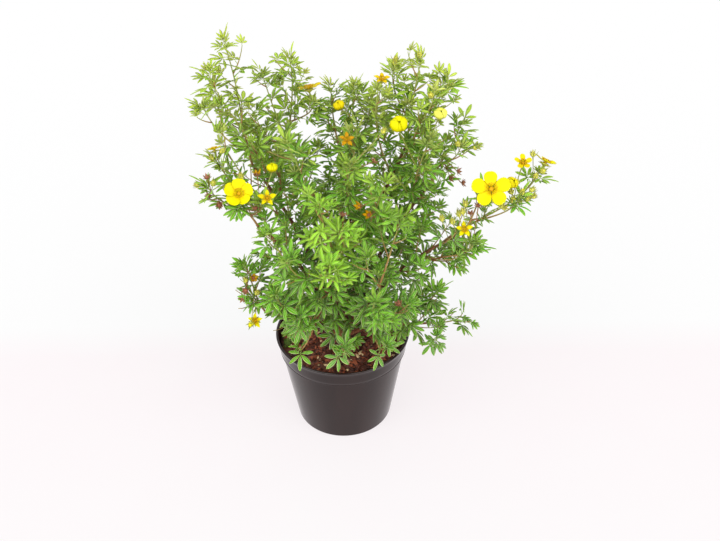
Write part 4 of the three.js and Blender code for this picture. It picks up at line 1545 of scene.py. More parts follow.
@dataclass
class Bloom:
    """One open bloom, with its place and form."""

    name: str
    spray: str
    shoot: int
    start: float
    heart: Array
    faces: Array
    size: float
    cup: float
    ripeness: float

    @property
    def narrow(self) -> bool:
        """Whether its petals are narrow and curled."""
        return self.name in NARROW_BLOOMS

    def balls(self, owner: int) -> Balls:
        """Works out the room that the bloom takes: its heart and a place on each petal.

        Args:
            owner: The number that the room is taken under.

        Returns:
            The balls.
        """
        radius = self.size / 2
        height = self.faces * (self.cup * radius * 0.5)
        out, turns = radius * 0.66, turns_of(PETAL_COUNT)
        petals = [self.heart + turned(self.faces, turn) * out + height for turn in turns]
        return Balls.of([self.heart, *petals], [radius * 0.35 + 1] + [radius * 0.36 + 1] * PETAL_COUNT, owner)


@dataclass
class Head:
    """A bud, opening bud, faded bloom or spent head on its stalk."""

    kind: HeadKind
    foot: Array
    neck: Array
    axis: Array


@dataclass
class Shoot:
    """One green stem of a spray with what grows on it. Its drawn line starts on the fine cane."""

    line: StemLine
    radius: float
    drawn: StemLine
    leaves: list[Leaf] = field(default_factory=list)
    blooms: list[Bloom] = field(default_factory=list)
    heads: list[Head] = field(default_factory=list)


@dataclass
class Spray:
    """One leafy spray: its main shoot and the shoots that fork from it."""

    name: str
    cane: str
    start: float
    tips: list[tuple[float, float, float]]
    number: int
    shoots: list[Shoot] = field(default_factory=list)


def stem_balls(line: StemLine, radius: float, owner: int) -> Balls:
    """Works out the room that a stem takes, with a ball about every 5 mm.

    Args:
        line: The stem's line.
        radius: Its radius.
        owner: The number of its spray.

    Returns:
        The balls.
    """
    count = math.ceil(line.span / 5)
    places = [line.at(i / count) for i in range(count + 1)]
    return Balls.of(places, radius + CLEAR.stem, owner, stems=True)


def stalk_balls(start: Array, end: Array, owner: int) -> Balls:
    """Returns the room that a straight stalk takes."""
    shares = np.array([0.2, 0.35, 0.5, 0.65, 0.8, 0.95])
    return Balls.of(start + np.outer(shares, end - start), CLEAR.stalk, owner)


class Growth:
    """The shrub's plan: canes, sprays and what they bear, worked out as the solids have them."""

    WOOD = -1
    FORK_AT = 0.35
    BASE_RADIUS = 1.5
    FORK_RADIUS = 1.3
    CANE_RADIUS = 3.0
    BUD_MIDDLE = 2.925
    BUD_ROOM = 3.6
    HEAD_MIDDLE = 2.5
    HEAD_ROOM = 3.0
    BLOOM_OWNERS = 1000
    BUD_SEED = 1000

    def __init__(self) -> None:
        """Plans the growth in the order that the solids follow."""
        self.room = Room()
        self.canes = {name: self.cane_line(np.array(end, float)) for name, end in CANE_ENDS.items()}
        self.blooms = [
            Bloom(name, spray, shoot, start, np.array(at, float), unit(np.array(faces, float)), *form)
            for name, spray, shoot, start, at, faces, *form in BLOOM_ROWS
        ]
        self.sprays = [Spray(*row, number) for number, row in enumerate(SPRAY_ROWS)]
        for line in self.canes.values():
            self.room.take(stem_balls(line, self.CANE_RADIUS, self.WOOD))
        for spray in self.sprays:
            self.plan_shoots(spray)
        for spray in self.sprays:
            self.plan_leaves(spray)
        for row in HEAD_ROWS:
            self.plan_head(*row)

    @staticmethod
    def cane_line(end: Array) -> StemLine:
        """Bends a cane from the crown out to its end.

        Args:
            end: Its end.

        Returns:
            The cane's line.
        """
        out = math.hypot(end[0], end[1])
        start = np.array([CROWN.ring * end[0] / out, CROWN.ring * end[1] / out, CROWN.shoulder - 3])
        run = end - start
        first = start + run * np.array([0.18, 0.18, 0.42])
        second = start + run * np.array([0.62, 0.62, 0.8])
        return StemLine(np.array([start, first, second, end]))

    @staticmethod
    def shoot_line(parent: StemLine, share: float, tip: Sequence[float]) -> StemLine:
        """Bends a shoot that leaves its parent at a slant and turns up to its tip.

        Args:
            parent: The line that it grows from.
            share: How far along the parent it leaves.
            tip: Where it ends.

        Returns:
            The shoot's line.
        """
        start, along = parent.stepped(share), parent.heading(share)
        end = np.array(tip, float)
        length = float(np.linalg.norm(end - start))
        sideways = 0.85 if share < 1 else 0.35
        leave = unit(along * (1 - 0.5 * sideways) + square_to(along, end - start) * sideways)
        arrive = unit(unit(end * LEVEL) * 0.35 + UP)
        return StemLine(np.array([start, start + leave * 0.3 * length, end - arrive * 0.35 * length, end]))

    def plan_shoots(self, spray: Spray) -> None:
        """Lays out a spray's shoots, and takes room for them and for what flowers on them.

        Args:
            spray: The spray.
        """
        cane = self.canes[spray.cane]
        main = self.shoot_line(cane, spray.start, spray.tips[0])
        drawn_main = main.from_place(cane.at(spray.start))
        for k, tip in enumerate(spray.tips):
            line = main if k == 0 else self.shoot_line(main, self.FORK_AT, tip)
            drawn = drawn_main if k == 0 else line.from_place(drawn_main.at(self.FORK_AT))
            shoot = Shoot(line, self.FORK_RADIUS if k else self.BASE_RADIUS, drawn)
            spray.shoots.append(shoot)
            self.room.take(stem_balls(line, shoot.radius, spray.number))
            shoot.heads = self.plan_buds(spray, k, line)
            self.plan_blooms(spray, k, shoot)

    def plan_buds(self, spray: Spray, shoot: int, line: StemLine) -> list[Head]:
        """Stands the solids' buds round a shoot's tip.

        Args:
            spray: The spray.
            shoot: The shoot's number.
            line: The shoot's line.

        Returns:
            The buds.
        """
        count = next((n for name, k, n in BUD_ROWS if (name, k) == (spray.name, shoot)), 0)
        random = SeededRandom(self.BUD_SEED + 10 * spray.number + shoot)
        stem = line.heading(0.98)
        first_turn = random() * FULL_TURN
        buds = []
        for i in range(count):
            foot = line.stepped(0.97 - 0.04 * i)
            lift = 42 * DEGREE * (0.5 + random())
            axis = stem * math.cos(lift) + turned(stem, first_turn + i * GOLDEN_TURN) * math.sin(lift)
            neck = foot + axis * (11 + 8 * random())
            buds.append(Head(BUD, foot, neck, axis))
            self.room.take(stalk_balls(foot, neck, spray.number))
            self.room.take(Balls.of(neck + axis * self.BUD_MIDDLE, self.BUD_ROOM, spray.number))
        return buds

    def plan_blooms(self, spray: Spray, number: int, shoot: Shoot) -> None:
        """Takes room for a shoot's blooms and their stalks.

        Args:
            spray: The spray.
            number: The shoot's number.
            shoot: The shoot.
        """
        for index, bloom in enumerate(self.blooms):
            if (bloom.spray, bloom.shoot) == (spray.name, number):
                shoot.blooms.append(bloom)
                foot = shoot.line.stepped(bloom.start)
                self.room.take(stalk_balls(foot, bloom.heart, spray.number))
                self.room.take(bloom.balls(self.BLOOM_OWNERS + index))

    def plan_leaves(self, spray: Spray) -> None:
        """Stands the solids' leaves on a spray, each drawn again until it is clear.

        Args:
            spray: The spray.
        """
        for k, shoot in enumerate(spray.shoots):
            seed = 10 * spray.number + k + 1
            length = shoot.line.span
            first_turn = SeededRandom(seed)() * FULL_TURN
            for index in range(RULES.on_fork if k else RULES.on_main):
                if RULES.back[index] >= length * RULES.lowest:
                    break
                share, turn = 1 - RULES.back[index] / length, first_turn + index * GOLDEN_TURN
                leaflets = FULL_LEAF if index else YOUNG_LEAF
                place = LeafPlace(share, turn, RULES.lift[index], RULES.petiole, RULES.size, leaflets)
                self.try_leaf(shoot, place, SeededRandom(seed * 101 + index + 1), spray.number)

    def try_leaf(self, shoot: Shoot, place: LeafPlace, random: SeededRandom, owner: int) -> None:
        """Stands one leaf if it finds room within the tries.

        Args:
            shoot: The shoot that it grows on.
            place: What is asked of it.
            random: The stream that varies it.
            owner: The number of its spray.
        """
        for _ in range(RULES.tries):
            leaf = leaf_pose(shoot.line, place, random)
            balls = leaf.balls(owner)
            if self.room.is_clear(balls):
                self.room.take(balls)
                shoot.leaves.append(leaf)
                return

    def plan_head(self, kind: HeadKind, spray: str, shoot: int, share: float, at: Sequence[float]) -> None:
        """Stands a further head on a shoot and takes room for it.

        Args:
            kind: What it is.
            spray: The name of its spray.
            shoot: The number of its shoot.
            share: How far along the shoot its stalk leaves.
            at: Where it lies.
        """
        owner = next(s for s in self.sprays if s.name == spray)
        bearer = owner.shoots[shoot]
        foot, neck = bearer.line.at(share), np.array(at, float)
        axis = unit(unit(neck - foot) + UP * 0.8)
        bearer.heads.append(Head(kind, foot, neck, axis))
        self.room.take(stalk_balls(foot, neck, owner.number))
        self.room.take(Balls.of(neck + axis * self.HEAD_MIDDLE, self.HEAD_ROOM, owner.number))


@dataclass(frozen=True)
class OpenBed:
    """The front and left of the bed, over which no leaf hangs, in millimetres."""

    top: float = 180.0
    slope: float = 1.1
    radius: float = 125.0
    half_width: float = 72.0
    front: float = -36.0
    left: float = -48.0
    left_front: float = -12.0


OPEN_BED = OpenBed()


@dataclass
class Filling:
    """Leaves and twigs that fill in between those of the solids. Lengths are in millimetres."""

    growth: Growth
    seed: int = 41
    margin: float = 6.0
    looseness: float = 0.4
    tries: int = 10
    reach: float = 11.0
    free: int = -2
    view_steps: tuple[float, ...] = (0.5, 1.1, 1.7)
    view_width: float = 0.65

    def __post_init__(self) -> None:
        """Opens the stream, reads the room that the frame allows and keeps the blooms in view."""
        self.stream = np.random.default_rng(self.seed)
        self.low = np.array(CAD_BOX[0]) / MM - self.margin
        self.high = np.array(CAD_BOX[1]) / MM + self.margin
        room = self.growth.room
        places = np.concatenate(list(room.cells.values()))
        self.solids = KDTree(len(places))
        for index, row in enumerate(places):
            self.solids.insert(row[:3], index)
        self.solids.balance()
        for bloom in self.growth.blooms:
            view = bloom.heart + np.outer(self.view_steps, bloom.faces * bloom.size)
            room.take(Balls.of(view, bloom.size * self.view_width, self.free))
        for *centre, radius in OPENINGS:
            room.take(Balls.of(centre, radius / self.looseness, self.free))

    def strays(self, centres: Array) -> bool:
        """Tells whether places lie outside the crown's core and out of the solids' reach.

        Args:
            centres: The places.

        Returns:
            True where one does.
        """
        core = np.array(CROWN_CORE, float)
        apart = np.linalg.norm(centres[:, None] - core[:, :3], axis=2)
        outside = centres[np.all(apart > core[:, 3], axis=1)]
        return any(self.solids.find(place)[2] > self.reach for place in outside)

    @staticmethod
    def hides_bed(centres: Array) -> bool:
        """Tells whether places hang over the front of the bed, which lies open.

        Args:
            centres: The places.

        Returns:
            True where one does.
        """
        x, y, z = centres.T
        over = y + (z - MEDIUM_LEVEL) * OPEN_BED.slope
        front = (np.abs(x) < OPEN_BED.half_width) & (over < OPEN_BED.front)
        left = (x < OPEN_BED.left) & (over < OPEN_BED.left_front)
        near = (z < OPEN_BED.top) & (np.hypot(x, y) < OPEN_BED.radius)
        return bool(np.any(near & (front | left)))

    def chance(self) -> float:
        """Returns the next number from 0 to 1."""
        return float(self.stream.random())

    def between(self, low: float, high: float) -> float:
        """Returns the next number from low to high."""
        return low + (high - low) * self.chance()

    def leaves_on(self, line: StemLine, backs: Sequence[float], owner: int, size: float) -> list[Leaf]:
        """Stands leaves down a stem from its tip.

        Args:
            line: The stem's line.
            backs: How far back from the tip each stands, in millimetres.
            owner: The number of the spray.
            size: A factor on their size.

        Returns:
            Those that found room.
        """
        found = []
        first_turn = self.chance() * FULL_TURN
        for index, back in enumerate(backs):
            young = math.exp(-back / 9)
            place = LeafPlace(
                share=max(1 - back / line.span, 0.04),
                turn=first_turn + index * GOLDEN_TURN,
                lift=62 - 44 * young,
                petiole=(2 + 4 * (1 - young), 4 + 6 * (1 - young)),
                size=(size * (0.78 - 0.1 * young), size * (1.08 - 0.1 * young)),
                leaflets=TUFT_LEAF if young > 0.4 else FILL_LEAF,
                sag=0.4 * (1 - young) - 0.1,
            )
            leaf = self.try_leaf(line, place, owner)
            if leaf:
                leaf.age = young
                found.append(leaf)
        return found

    def try_leaf(self, line: StemLine, place: LeafPlace, owner: int) -> Leaf | None:
        """Stands one leaf if it finds room.

        Args:
            line: The stem's line.
            place: What is asked of the leaf.
            owner: The number of the spray.

        Returns:
            The leaf, or nothing.
        """
        for _ in range(self.tries):
            leaf = leaf_pose(line, place, self.chance)
            balls = leaf.balls(owner)
            inside = np.all((balls.centres > self.low) & (balls.centres < self.high))
            if not inside or self.hides_bed(balls.centres) or self.strays(balls.centres):
                continue
            if self.growth.room.is_clear(balls, self.looseness):
                self.growth.room.take(balls)
                return leaf
        return None

    def twig(self, parent: StemLine, share: float, turn: float, length: float) -> StemLine:
        """Bends a short twig out of a stem and up.

        Args:
            parent: The line that it grows from.
            share: How far along the parent it leaves.
            turn: Its turn round the parent.
            length: Its length.

        Returns:
            The twig's line.
        """
        start, stem = parent.at(share), parent.heading(share)
        away = start * LEVEL
        away = away / (np.linalg.norm(away) + 1)
        leave = unit(stem * 0.7 + turned(stem, turn) + away * 0.3)
        arrive = unit(leave + UP * 0.9 + away * 0.3)
        end = start + unit(leave + arrive) * length
        return StemLine(np.array([start, start + leave * 0.35 * length, end - arrive * 0.3 * length, end]))


@dataclass
class LeafDresser:
    """Builds leaves, heads and stalks into a spray's mesh."""

    draft: MeshDraft
    stream: Stream

    def varied(self, value: float, spread: float) -> float:
        """Returns a value moved by chance and held between 0 and 1."""
        return float(np.clip(self.stream.normal(value, spread), 0, 1))

    def leaves(self, leaves: Sequence[Leaf], form: BladeForm, line: StemLine | None = None) -> None:
        """Adds leaves with their petioles.

        Args:
            leaves: The leaves.
            form: The form of their leaflets.
            line: The drawn stem that their petioles start on, if it isn't the planned one.
        """
        blades = []
        for leaf in leaves:
            blades += self.leaflets(leaf)
            self.petiole(leaf, line)
        if blades:
            add_blades(self.draft, blades, form, LEAF_UPPER, LEAF_UNDER)

    def leaflets(self, leaf: Leaf) -> list[Blade]:
        """Lists the blades of one leaf. The middle ones start a little further on.

        Args:
            leaf: The leaf.

        Returns:
            Its blades.
        """
        side = np.cross(leaf.forward, leaf.upper)
        blades = []
        for angle, length, width in leaf.leaflets:
            sine, cosine = math.sin(angle * DEGREE), math.cos(angle * DEGREE)
            ahead = unit(side * sine + leaf.forward * cosine)
            tilt = self.stream.normal(0, 0.16)
            across = np.cross(ahead, leaf.upper)
            upper = unit(leaf.upper * math.cos(tilt) + across * math.sin(tilt))
            start = leaf.hub + leaf.forward * (1.6 * max(cosine, 0) * leaf.size)
            droop = RULES.droop + self.stream.normal(0.01, 0.06)
            long = length * leaf.size - 1.2 * max(cosine, 0)
            wide = width * leaf.size * self.stream.uniform(0.86, 1.1) * (1 - 0.14 * min(leaf.age, 1))
            tone = self.varied(leaf.tone, 0.05)
            blades.append(Blade(start, ahead, upper, long, wide, droop, tone, leaf.age))
        return blades

    def petiole(self, leaf: Leaf, line: StemLine | None) -> None:
        """Adds a leaf's stalk.

        Args:
            leaf: The leaf.
            line: The drawn stem that it starts on, or none.
        """
        foot = leaf.foot
        if line is not None:
            places = np.array([line.at(t) for t in np.linspace(0, 1, 41)])
            foot = places[np.argmin(((places - foot) ** 2).sum(axis=1))]
        path = straight_line(foot, leaf.hub + leaf.forward * 1.2 * leaf.size, UP * -0.4)
        marks = {"age": (0.6, leaf.age), "tone": (0.6, 0.6)}
        self.draft.tube(path, lambda t: 0.42 - 0.12 * t, LEAF_UNDER, 4, 2, **marks)

    def head(self, head: Head) -> None:
        """Adds a stalk with the head on it.

        Args:
            head: The head.
        """
        dry = head.kind in (SPENT, FADED)
        stalk = straight_line(head.foot, head.neck, square_to(head.axis, UP + EAST * 0.3) * 0.8)
        age = (0.2, 0.25) if dry else (0.7, 0.95)
        self.draft.tube(stalk, lambda t: 0.5 - 0.12 * t + 0.35 * t**8, SHOOT_SKIN, 5, 6, age=age)
        if dry:
            self.spent(head)
        else:
            self.bud(head)
        if head.kind is FADED:
            self.star(head, PETAL_RAGS, self.stream.uniform(0, 2))

    def star(self, head: Head, form: StarForm, first: float) -> None:
        """Adds a ring of sepals, bracts or rags of petals round a head.

        Args:
            head: The head.
            form: How they stand and look.
            first: The turn of the first.
        """
        blades = []
        for k in range(PETAL_COUNT):
            out = turned(head.axis, first + FULL_TURN * k / PETAL_COUNT)
            forward = unit(head.axis + out * form.flare)
            length = form.length * self.stream.uniform(0.85, 1.15)
            droop = form.droop + self.stream.normal(0, 0.08)
            upper = square_to(forward, head.axis - out * 0.4)
            origin = head.neck + head.axis * form.rise + out * 1.2
            tone = self.varied(form.tone, 0.12)
            blades.append(Blade(origin, forward, upper, length, form.width, droop, tone, form.age))
        add_blades(self.draft, blades, form.blade, form.finish, form.finish)

    def turned_form(
        self, head: Head, profile: Sequence[tuple[float, float]], finish: Finish, ridge: float, **marks: float
    ) -> None:
        """Adds a five-ridged turned form at a head's neck."""
        self.draft.lathe(head.neck, head.axis, profile, finish, 15, ridge, **marks)

    def bud(self, head: Head) -> None:
        """Adds a round five-ridged bud with its bracts. An opening one shows yellow at its tip.

        Args:
            head: The bud.
        """
        self.turned_form(head, BUD_BODY, SEPAL_SKIN, 0.07, tone=0.55, age=0.6, breadth=0.5)
        turn = self.stream.uniform(0, 2)
        self.star(head, BUD_BRACTS, turn)
        self.star(head, BUD_SEPALS, turn + 0.63)
        if head.kind is OPENING:
            self.turned_form(head, BUD_TIP, PETALS, 0.08, along=0.9)

    def spent(self, head: Head) -> None:
        """Adds a dry head: a knob of seeds in a star of dead sepals.

        Args:
            head: The head.
        """
        self.turned_form(head, SEED_KNOB, DRY_CALYX, 0.16, tone=0.15)
        turn = self.stream.uniform(0, 2)
        self.star(head, SPENT_SEPALS, turn)
        self.star(head, SPENT_BRACTS, turn + 0.63)

    def calyx(self, bloom: Bloom, foot: Array) -> None:
        """Adds a bloom's stalk, its cup and the sepals and bracts behind its petals.

        Args:
            bloom: The bloom.
            foot: Where its stalk starts.
        """
        depth = bloom.size * 0.14
        neck = bloom.heart - bloom.faces * (0.7 + GAP + depth)
        stalk = straight_line(foot, neck, UP * -0.8)
        self.draft.tube(stalk, lambda t: 0.48 + 0.1 * t + 0.3 * t**8, SHOOT_SKIN, 6, 8, age=(0.6, 0.95))
        reach = min(bloom.size, 30) * 0.17
        profile = [(0.7, -0.3), (reach * 0.55, depth * 0.35), (reach * 0.9, depth * 0.7), (reach, depth)]
        cup = Head(OPENING, foot, neck, bloom.faces)
        self.turned_form(cup, profile, SEPAL_SKIN, 0.05, tone=0.5, age=0.4, breadth=0.5)
        rim = replace(cup, neck=neck + bloom.faces * depth * 0.5)
        length = max(bloom.size * 0.24, 5.5)
        flare = 3.0 if bloom.cup < 0.3 else 1.2
        self.star(rim, replace(CALYX_SEPALS, flare=flare, length=length), math.pi / 5)
        self.star(rim, replace(CALYX_BRACTS, flare=flare, length=length * 1.15), 0)


@dataclass
class Foliage:
    """All leafy sprays, each one piece."""

    growth: Growth
    filling: Filling
    shoot_spacing: float = 8.0
    twig_spacing: float = 16.0
    cane_spacing: float = 12.0
    stem_tip: float = 0.55
    shoot_heights: tuple[float, float] = (190.0, 450.0)
    age_and_shade_heights: tuple[float, float] = (150.0, 480.0)
    fresh_age: float = 1.2
    tip_backs: tuple[float, ...] = (0.3, 1.8, 3.6, 5.6, 8, 11)
    twig_backs: tuple[float, ...] = (0.3, 1.6, 3.2, 5.5, 9)
    sparse_size: float = 0.72
    twig_size: float = 0.95
    twig_lengths: tuple[float, float] = (12.0, 34.0)
    cane_twig_lengths: tuple[float, float] = (18.0, 56.0)
    cane_owners: int = 2000
    seed: int = 500
    twig_seed: int = 900

    def build(self) -> None:
        """Builds every spray, then the leafy twigs on the canes."""
        for spray in self.growth.sprays:
            self.build_spray(spray)
        for number, (name, line) in enumerate(self.growth.canes.items()):
            self.build_cane_twigs(name, line, number)

    def build_spray(self, spray: Spray) -> None:
        """Builds one spray: stems, leaves, heads and calyces.

        Args:
            spray: The spray.
        """
        draft = MeshDraft()
        dresser = LeafDresser(draft, np.random.default_rng(self.seed + spray.number))
        for shoot in spray.shoots:
            youth = share_of(*self.shoot_heights, shoot.line.hooks[3][2])
            self.stem(draft, shoot, youth)
            self.tint(shoot.leaves, youth, dresser, spray.name in FRESH_SPRAYS)
            dresser.leaves(shoot.leaves, FINE_LEAFLET, shoot.drawn)
            for head in shoot.heads:
                dresser.head(head)
            for bloom in shoot.blooms:
                dresser.calyx(bloom, shoot.drawn.at(bloom.start))
            self.fill_shoot(dresser, shoot, spray, youth)
        draft.make("leafy_" + spray.name, "spray_" + spray.name)

    def stem(self, draft: MeshDraft, shoot: Shoot, youth: float) -> None:
        """Adds a shoot's stem, which thins to its tip.

        Args:
            draft: The piece's mesh.
            shoot: The shoot.
            youth: How young it is, from 0 to 1.
        """
        foot, thinning = shoot.radius, self.stem_tip - shoot.radius
        age = (0.1 + 0.3 * youth, 0.7 + 0.3 * youth)
        draft.tube(shoot.drawn, lambda t: foot + thinning * t**0.8, SHOOT_SKIN, 7, 14, age=age)

    def tint(self, leaves: Sequence[Leaf], youth: float, dresser: LeafDresser, fresh: bool = False) -> None:
        """Gives leaves their tone and age.

        Args:
            leaves: The leaves.
            youth: How young their stem is.
            dresser: The spray's dresser, which varies them.
            fresh: Whether the spray is fresh growth, whose leaves have an age over 1.
        """
        for index, leaf in enumerate(leaves):
            young = math.exp(-index / 1.5) if leaf.age is None else leaf.age
            # Leaves lower on the shrub get a lower age and so a darker green: partly real ageing, partly
            # painted shade under the crown.
            height = share_of(*self.age_and_shade_heights, leaf.hub[2])
            age = 0.14 + 0.5 * height + 0.18 * youth + 0.22 * young + dresser.stream.normal(0, 0.06)
            leaf.age = self.fresh_age + 0.1 * young if fresh else float(np.clip(age, 0, 1))
            leaf.tone = dresser.varied(0.5, 0.2)

    def fill_shoot(self, dresser: LeafDresser, shoot: Shoot, spray: Spray, youth: float) -> None:
        """Adds a tip tuft, more leaves and short twigs to a shoot.

        Args:
            dresser: The spray's dresser.
            shoot: The shoot.
            spray: The spray that it belongs to.
            youth: How young the shoot is.
        """
        length = shoot.line.span
        sparse = spray.name in SPARSE_SPRAYS
        spacing = self.shoot_spacing * (2 if sparse else 1)
        backs = [*self.tip_backs, *np.arange(17, 0.86 * length, spacing)]
        size = self.sparse_size if sparse else 1.0
        leaves = self.filling.leaves_on(shoot.line, backs, spray.number, size)
        turn = self.filling.chance() * FULL_TURN
        twigs = [] if sparse else np.arange(16, 0.84 * length, self.twig_spacing)
        for index, back in enumerate(twigs):
            reach = self.filling.between(*self.twig_lengths)
            line = self.filling.twig(shoot.drawn, 1 - back / length, turn + index * GOLDEN_TURN, reach)
            leaves += self.fill_twig(dresser.draft, line, spray.number, youth)
        self.tint(leaves, youth, dresser, spray.name in FRESH_SPRAYS)
        dresser.leaves(leaves, LEAFLET)

    def fill_twig(self, draft: MeshDraft, line: StemLine, owner: int, youth: float) -> list[Leaf]:
        """Adds a twig if leaves find room on it.

        Args:
            draft: The piece's mesh.
            line: The twig's line.
            owner: The number of the spray.
            youth: How young the twig is.

        Returns:
            Its leaves.
        """
        backs = [*self.twig_backs, *np.arange(14, 0.9 * line.span, 7)]
        leaves = self.filling.leaves_on(line, backs, owner, self.twig_size)
        if leaves:
            draft.tube(line, lambda t: 0.85 - 0.45 * t, SHOOT_SKIN, 5, 5, age=(0.3, 0.5 + 0.4 * youth))
        return leaves

    def build_cane_twigs(self, name: str, cane: StemLine, number: int) -> None:
        """Builds the leafy twigs that grow straight from one cane.

        Args:
            name: The cane's name.
            cane: Its line.
            number: Its number.
        """
        draft = MeshDraft()
        dresser = LeafDresser(draft, np.random.default_rng(self.twig_seed + number))
        leaves: list[Leaf] = []
        turn = self.filling.chance() * FULL_TURN
        places = np.arange(0.3 * cane.span, 0.97 * cane.span, self.cane_spacing)
        for index, place in enumerate(places):
            reach = self.filling.between(*self.cane_twig_lengths)
            line = self.filling.twig(cane, place / cane.span, turn + index * GOLDEN_TURN, reach)
            leaves += self.fill_twig(draft, line, self.cane_owners + number, 0.2)
        if leaves:
            self.tint(leaves, 0.1, dresser)
            dresser.leaves(leaves, LEAFLET)
            draft.make("twigs_" + name)


@dataclass
class PetalForm:
    """The form of a bloom's petals, worked out from the bloom."""

    bloom: Bloom
    rows: int = 9
    columns: int = 9
    claw: float = 0.1
    thickness: float = 0.32
    flat_cup: float = 0.3

    @property
    def breadth(self) -> float:
        """The petal's width as a share of the bloom's radius."""
        slim = 0.5 if self.bloom.narrow else 0.6 if self.bloom.name in SLENDER_BLOOMS else None
        return slim or (0.98 if self.bloom.cup >= self.flat_cup else 0.76)

    def half_width(self, along: Array) -> Array:
        """Works out the half width as a share of the bloom's radius.

        Args:
            along: Shares of the petal's length.

        Returns:
            The half width at each.
        """
        widest = 0.5 if self.bloom.narrow else 0.62
        rise = np.sin(math.pi / 2 * np.clip(along / widest, 0, 1)) ** 0.85
        left = np.clip((along - widest) / (1 - widest), 0, 1)
        fall = (1 - left**1.4) if self.bloom.narrow else np.sqrt(1 - left**2)
        return self.breadth / 2 * (0.08 + 0.92 * np.where(along <= widest, rise, fall))

    def spread(self, along: Array, across: Array, petal: int, stream: Stream) -> Array:
        """Finds places on the upper side of a petal that lies open.

        Args:
            along: Shares of the petal's length.
            across: Shares of its half width, from -1 to 1.
            petal: The petal's number.
            stream: The stream that varies it.

        Returns:
            The places.
        """
        bloom = self.bloom
        radius = bloom.size / 2 / math.hypot(1, bloom.cup) * stream.uniform(0.9, 1.06)
        notch = 0.0 if bloom.narrow else 0.05 * np.exp(-((across / 0.3) ** 2)) * smooth_step(0.8, 1, along)
        out = radius * (self.claw + (1 - self.claw) * along - notch)
        aside = radius * self.half_width(along) * across
        share = np.hypot(out, aside) / radius
        ripple = np.sin(3.2 * across + stream.uniform(0, FULL_TURN))
        curl = 0.9 if bloom.narrow else 0.16
        height = bloom.cup * radius * share**2 + 0.5
        height = height + curl * np.abs(aside) * np.abs(across) * (0.3 + 0.7 * along)
        height = height + 0.022 * radius * ripple * along**2
        height = height + 0.1 * aside * (1 if bloom.cup >= self.flat_cup else 0.5)
        height = height - 0.05 * radius * smooth_step(0.72, 1, along) * stream.uniform(0.2, 1.4)
        ahead = turned(bloom.faces, FULL_TURN * petal / PETAL_COUNT + stream.normal(0, 0.04))
        side = np.cross(bloom.faces, ahead)
        return bloom.heart + np.outer(out, ahead) + np.outer(aside, side) + np.outer(height, bloom.faces)

    def folded(self, along: Array, across: Array, petal: int) -> Array:
        """Finds places on the upper side of a petal that folds over the heart.

        Args:
            along: Shares of the petal's length.
            across: Shares of its half width, from -1 to 1.
            petal: The petal's number.

        Returns:
            The places.
        """
        bloom = self.bloom
        radius = bloom.size * (0.33 + 0.02 * petal)
        bend = (0.07 + (0.92 - 0.012 * petal) * along) * math.pi
        wide = np.maximum(self.half_width(along) / self.breadth * 2.1, smooth_step(0.5, 0.8, along) * 0.95)
        turn = FULL_TURN * petal * 0.4 + 0.9 + across * wide
        out = radius * np.sin(bend) * (1 - 0.06 * np.abs(across) ** 3)
        height = 0.5 + radius * 0.68 * (1 - np.cos(bend)) - 0.1 * radius * across**2
        over = across_of(bloom.faces)
        side = np.cross(bloom.faces, over)
        flat = np.outer(out * np.cos(turn), over) + np.outer(out * np.sin(turn), side)
        return bloom.heart + flat + np.outer(height, bloom.faces)

    def add_to(self, draft: MeshDraft, petal: int, stream: Stream) -> None:
        """Adds one petal as a thin closed sheet.

        Args:
            draft: The bloom's mesh.
            petal: The petal's number.
            stream: The stream that varies it.
        """
        lengths = np.sin(np.linspace(0, math.pi / 2, self.rows)) ** 0.9
        along = np.repeat(lengths, self.columns)
        across = np.tile(np.linspace(-1, 1, self.columns), self.rows)
        if self.bloom.name in CLOSED_BLOOMS:
            top = self.folded(along, across, petal)
        else:
            top = self.spread(along, across, petal, stream)
        inner = np.sqrt(np.clip(1 - across**2, 0, 1)) * np.sqrt(np.clip(1 - along**6, 0, 1))
        bottom = top - np.outer(inner * self.thickness + 0.02, self.bloom.faces)
        draft.add(
            np.concatenate([top, bottom]),
            [(self.sheet_faces(), PETALS)],
            along=np.tile(along, 2),
            breadth=np.tile(np.abs(across), 2),
            age=self.bloom.ripeness,
            tone=1.0 if self.bloom.name in PALE_BLOOMS else 0.5,
        )

    def sheet_faces(self) -> Array:
        """Lists the triangles of a petal's two skins and of the wall round its margin.

        Returns:
            The triangles. The lower skin's points follow the upper skin's.
        """
        skin = grid_faces(self.rows, self.columns, False)
        count = self.rows * self.columns
        first = np.arange(self.columns)
        right = np.arange(1, self.rows) * self.columns + self.columns - 1
        last = count - self.columns + np.arange(self.columns - 2, -1, -1)
        left = np.arange(self.rows - 2, 0, -1) * self.columns
        edge = np.concatenate([first, right, last, left])
        after = np.roll(edge, -1)
        wall = [np.stack([edge, edge + count, after + count], 1), np.stack([edge, after + count, after], 1)]
        return np.concatenate([skin, skin[:, ::-1] + count, *wall])


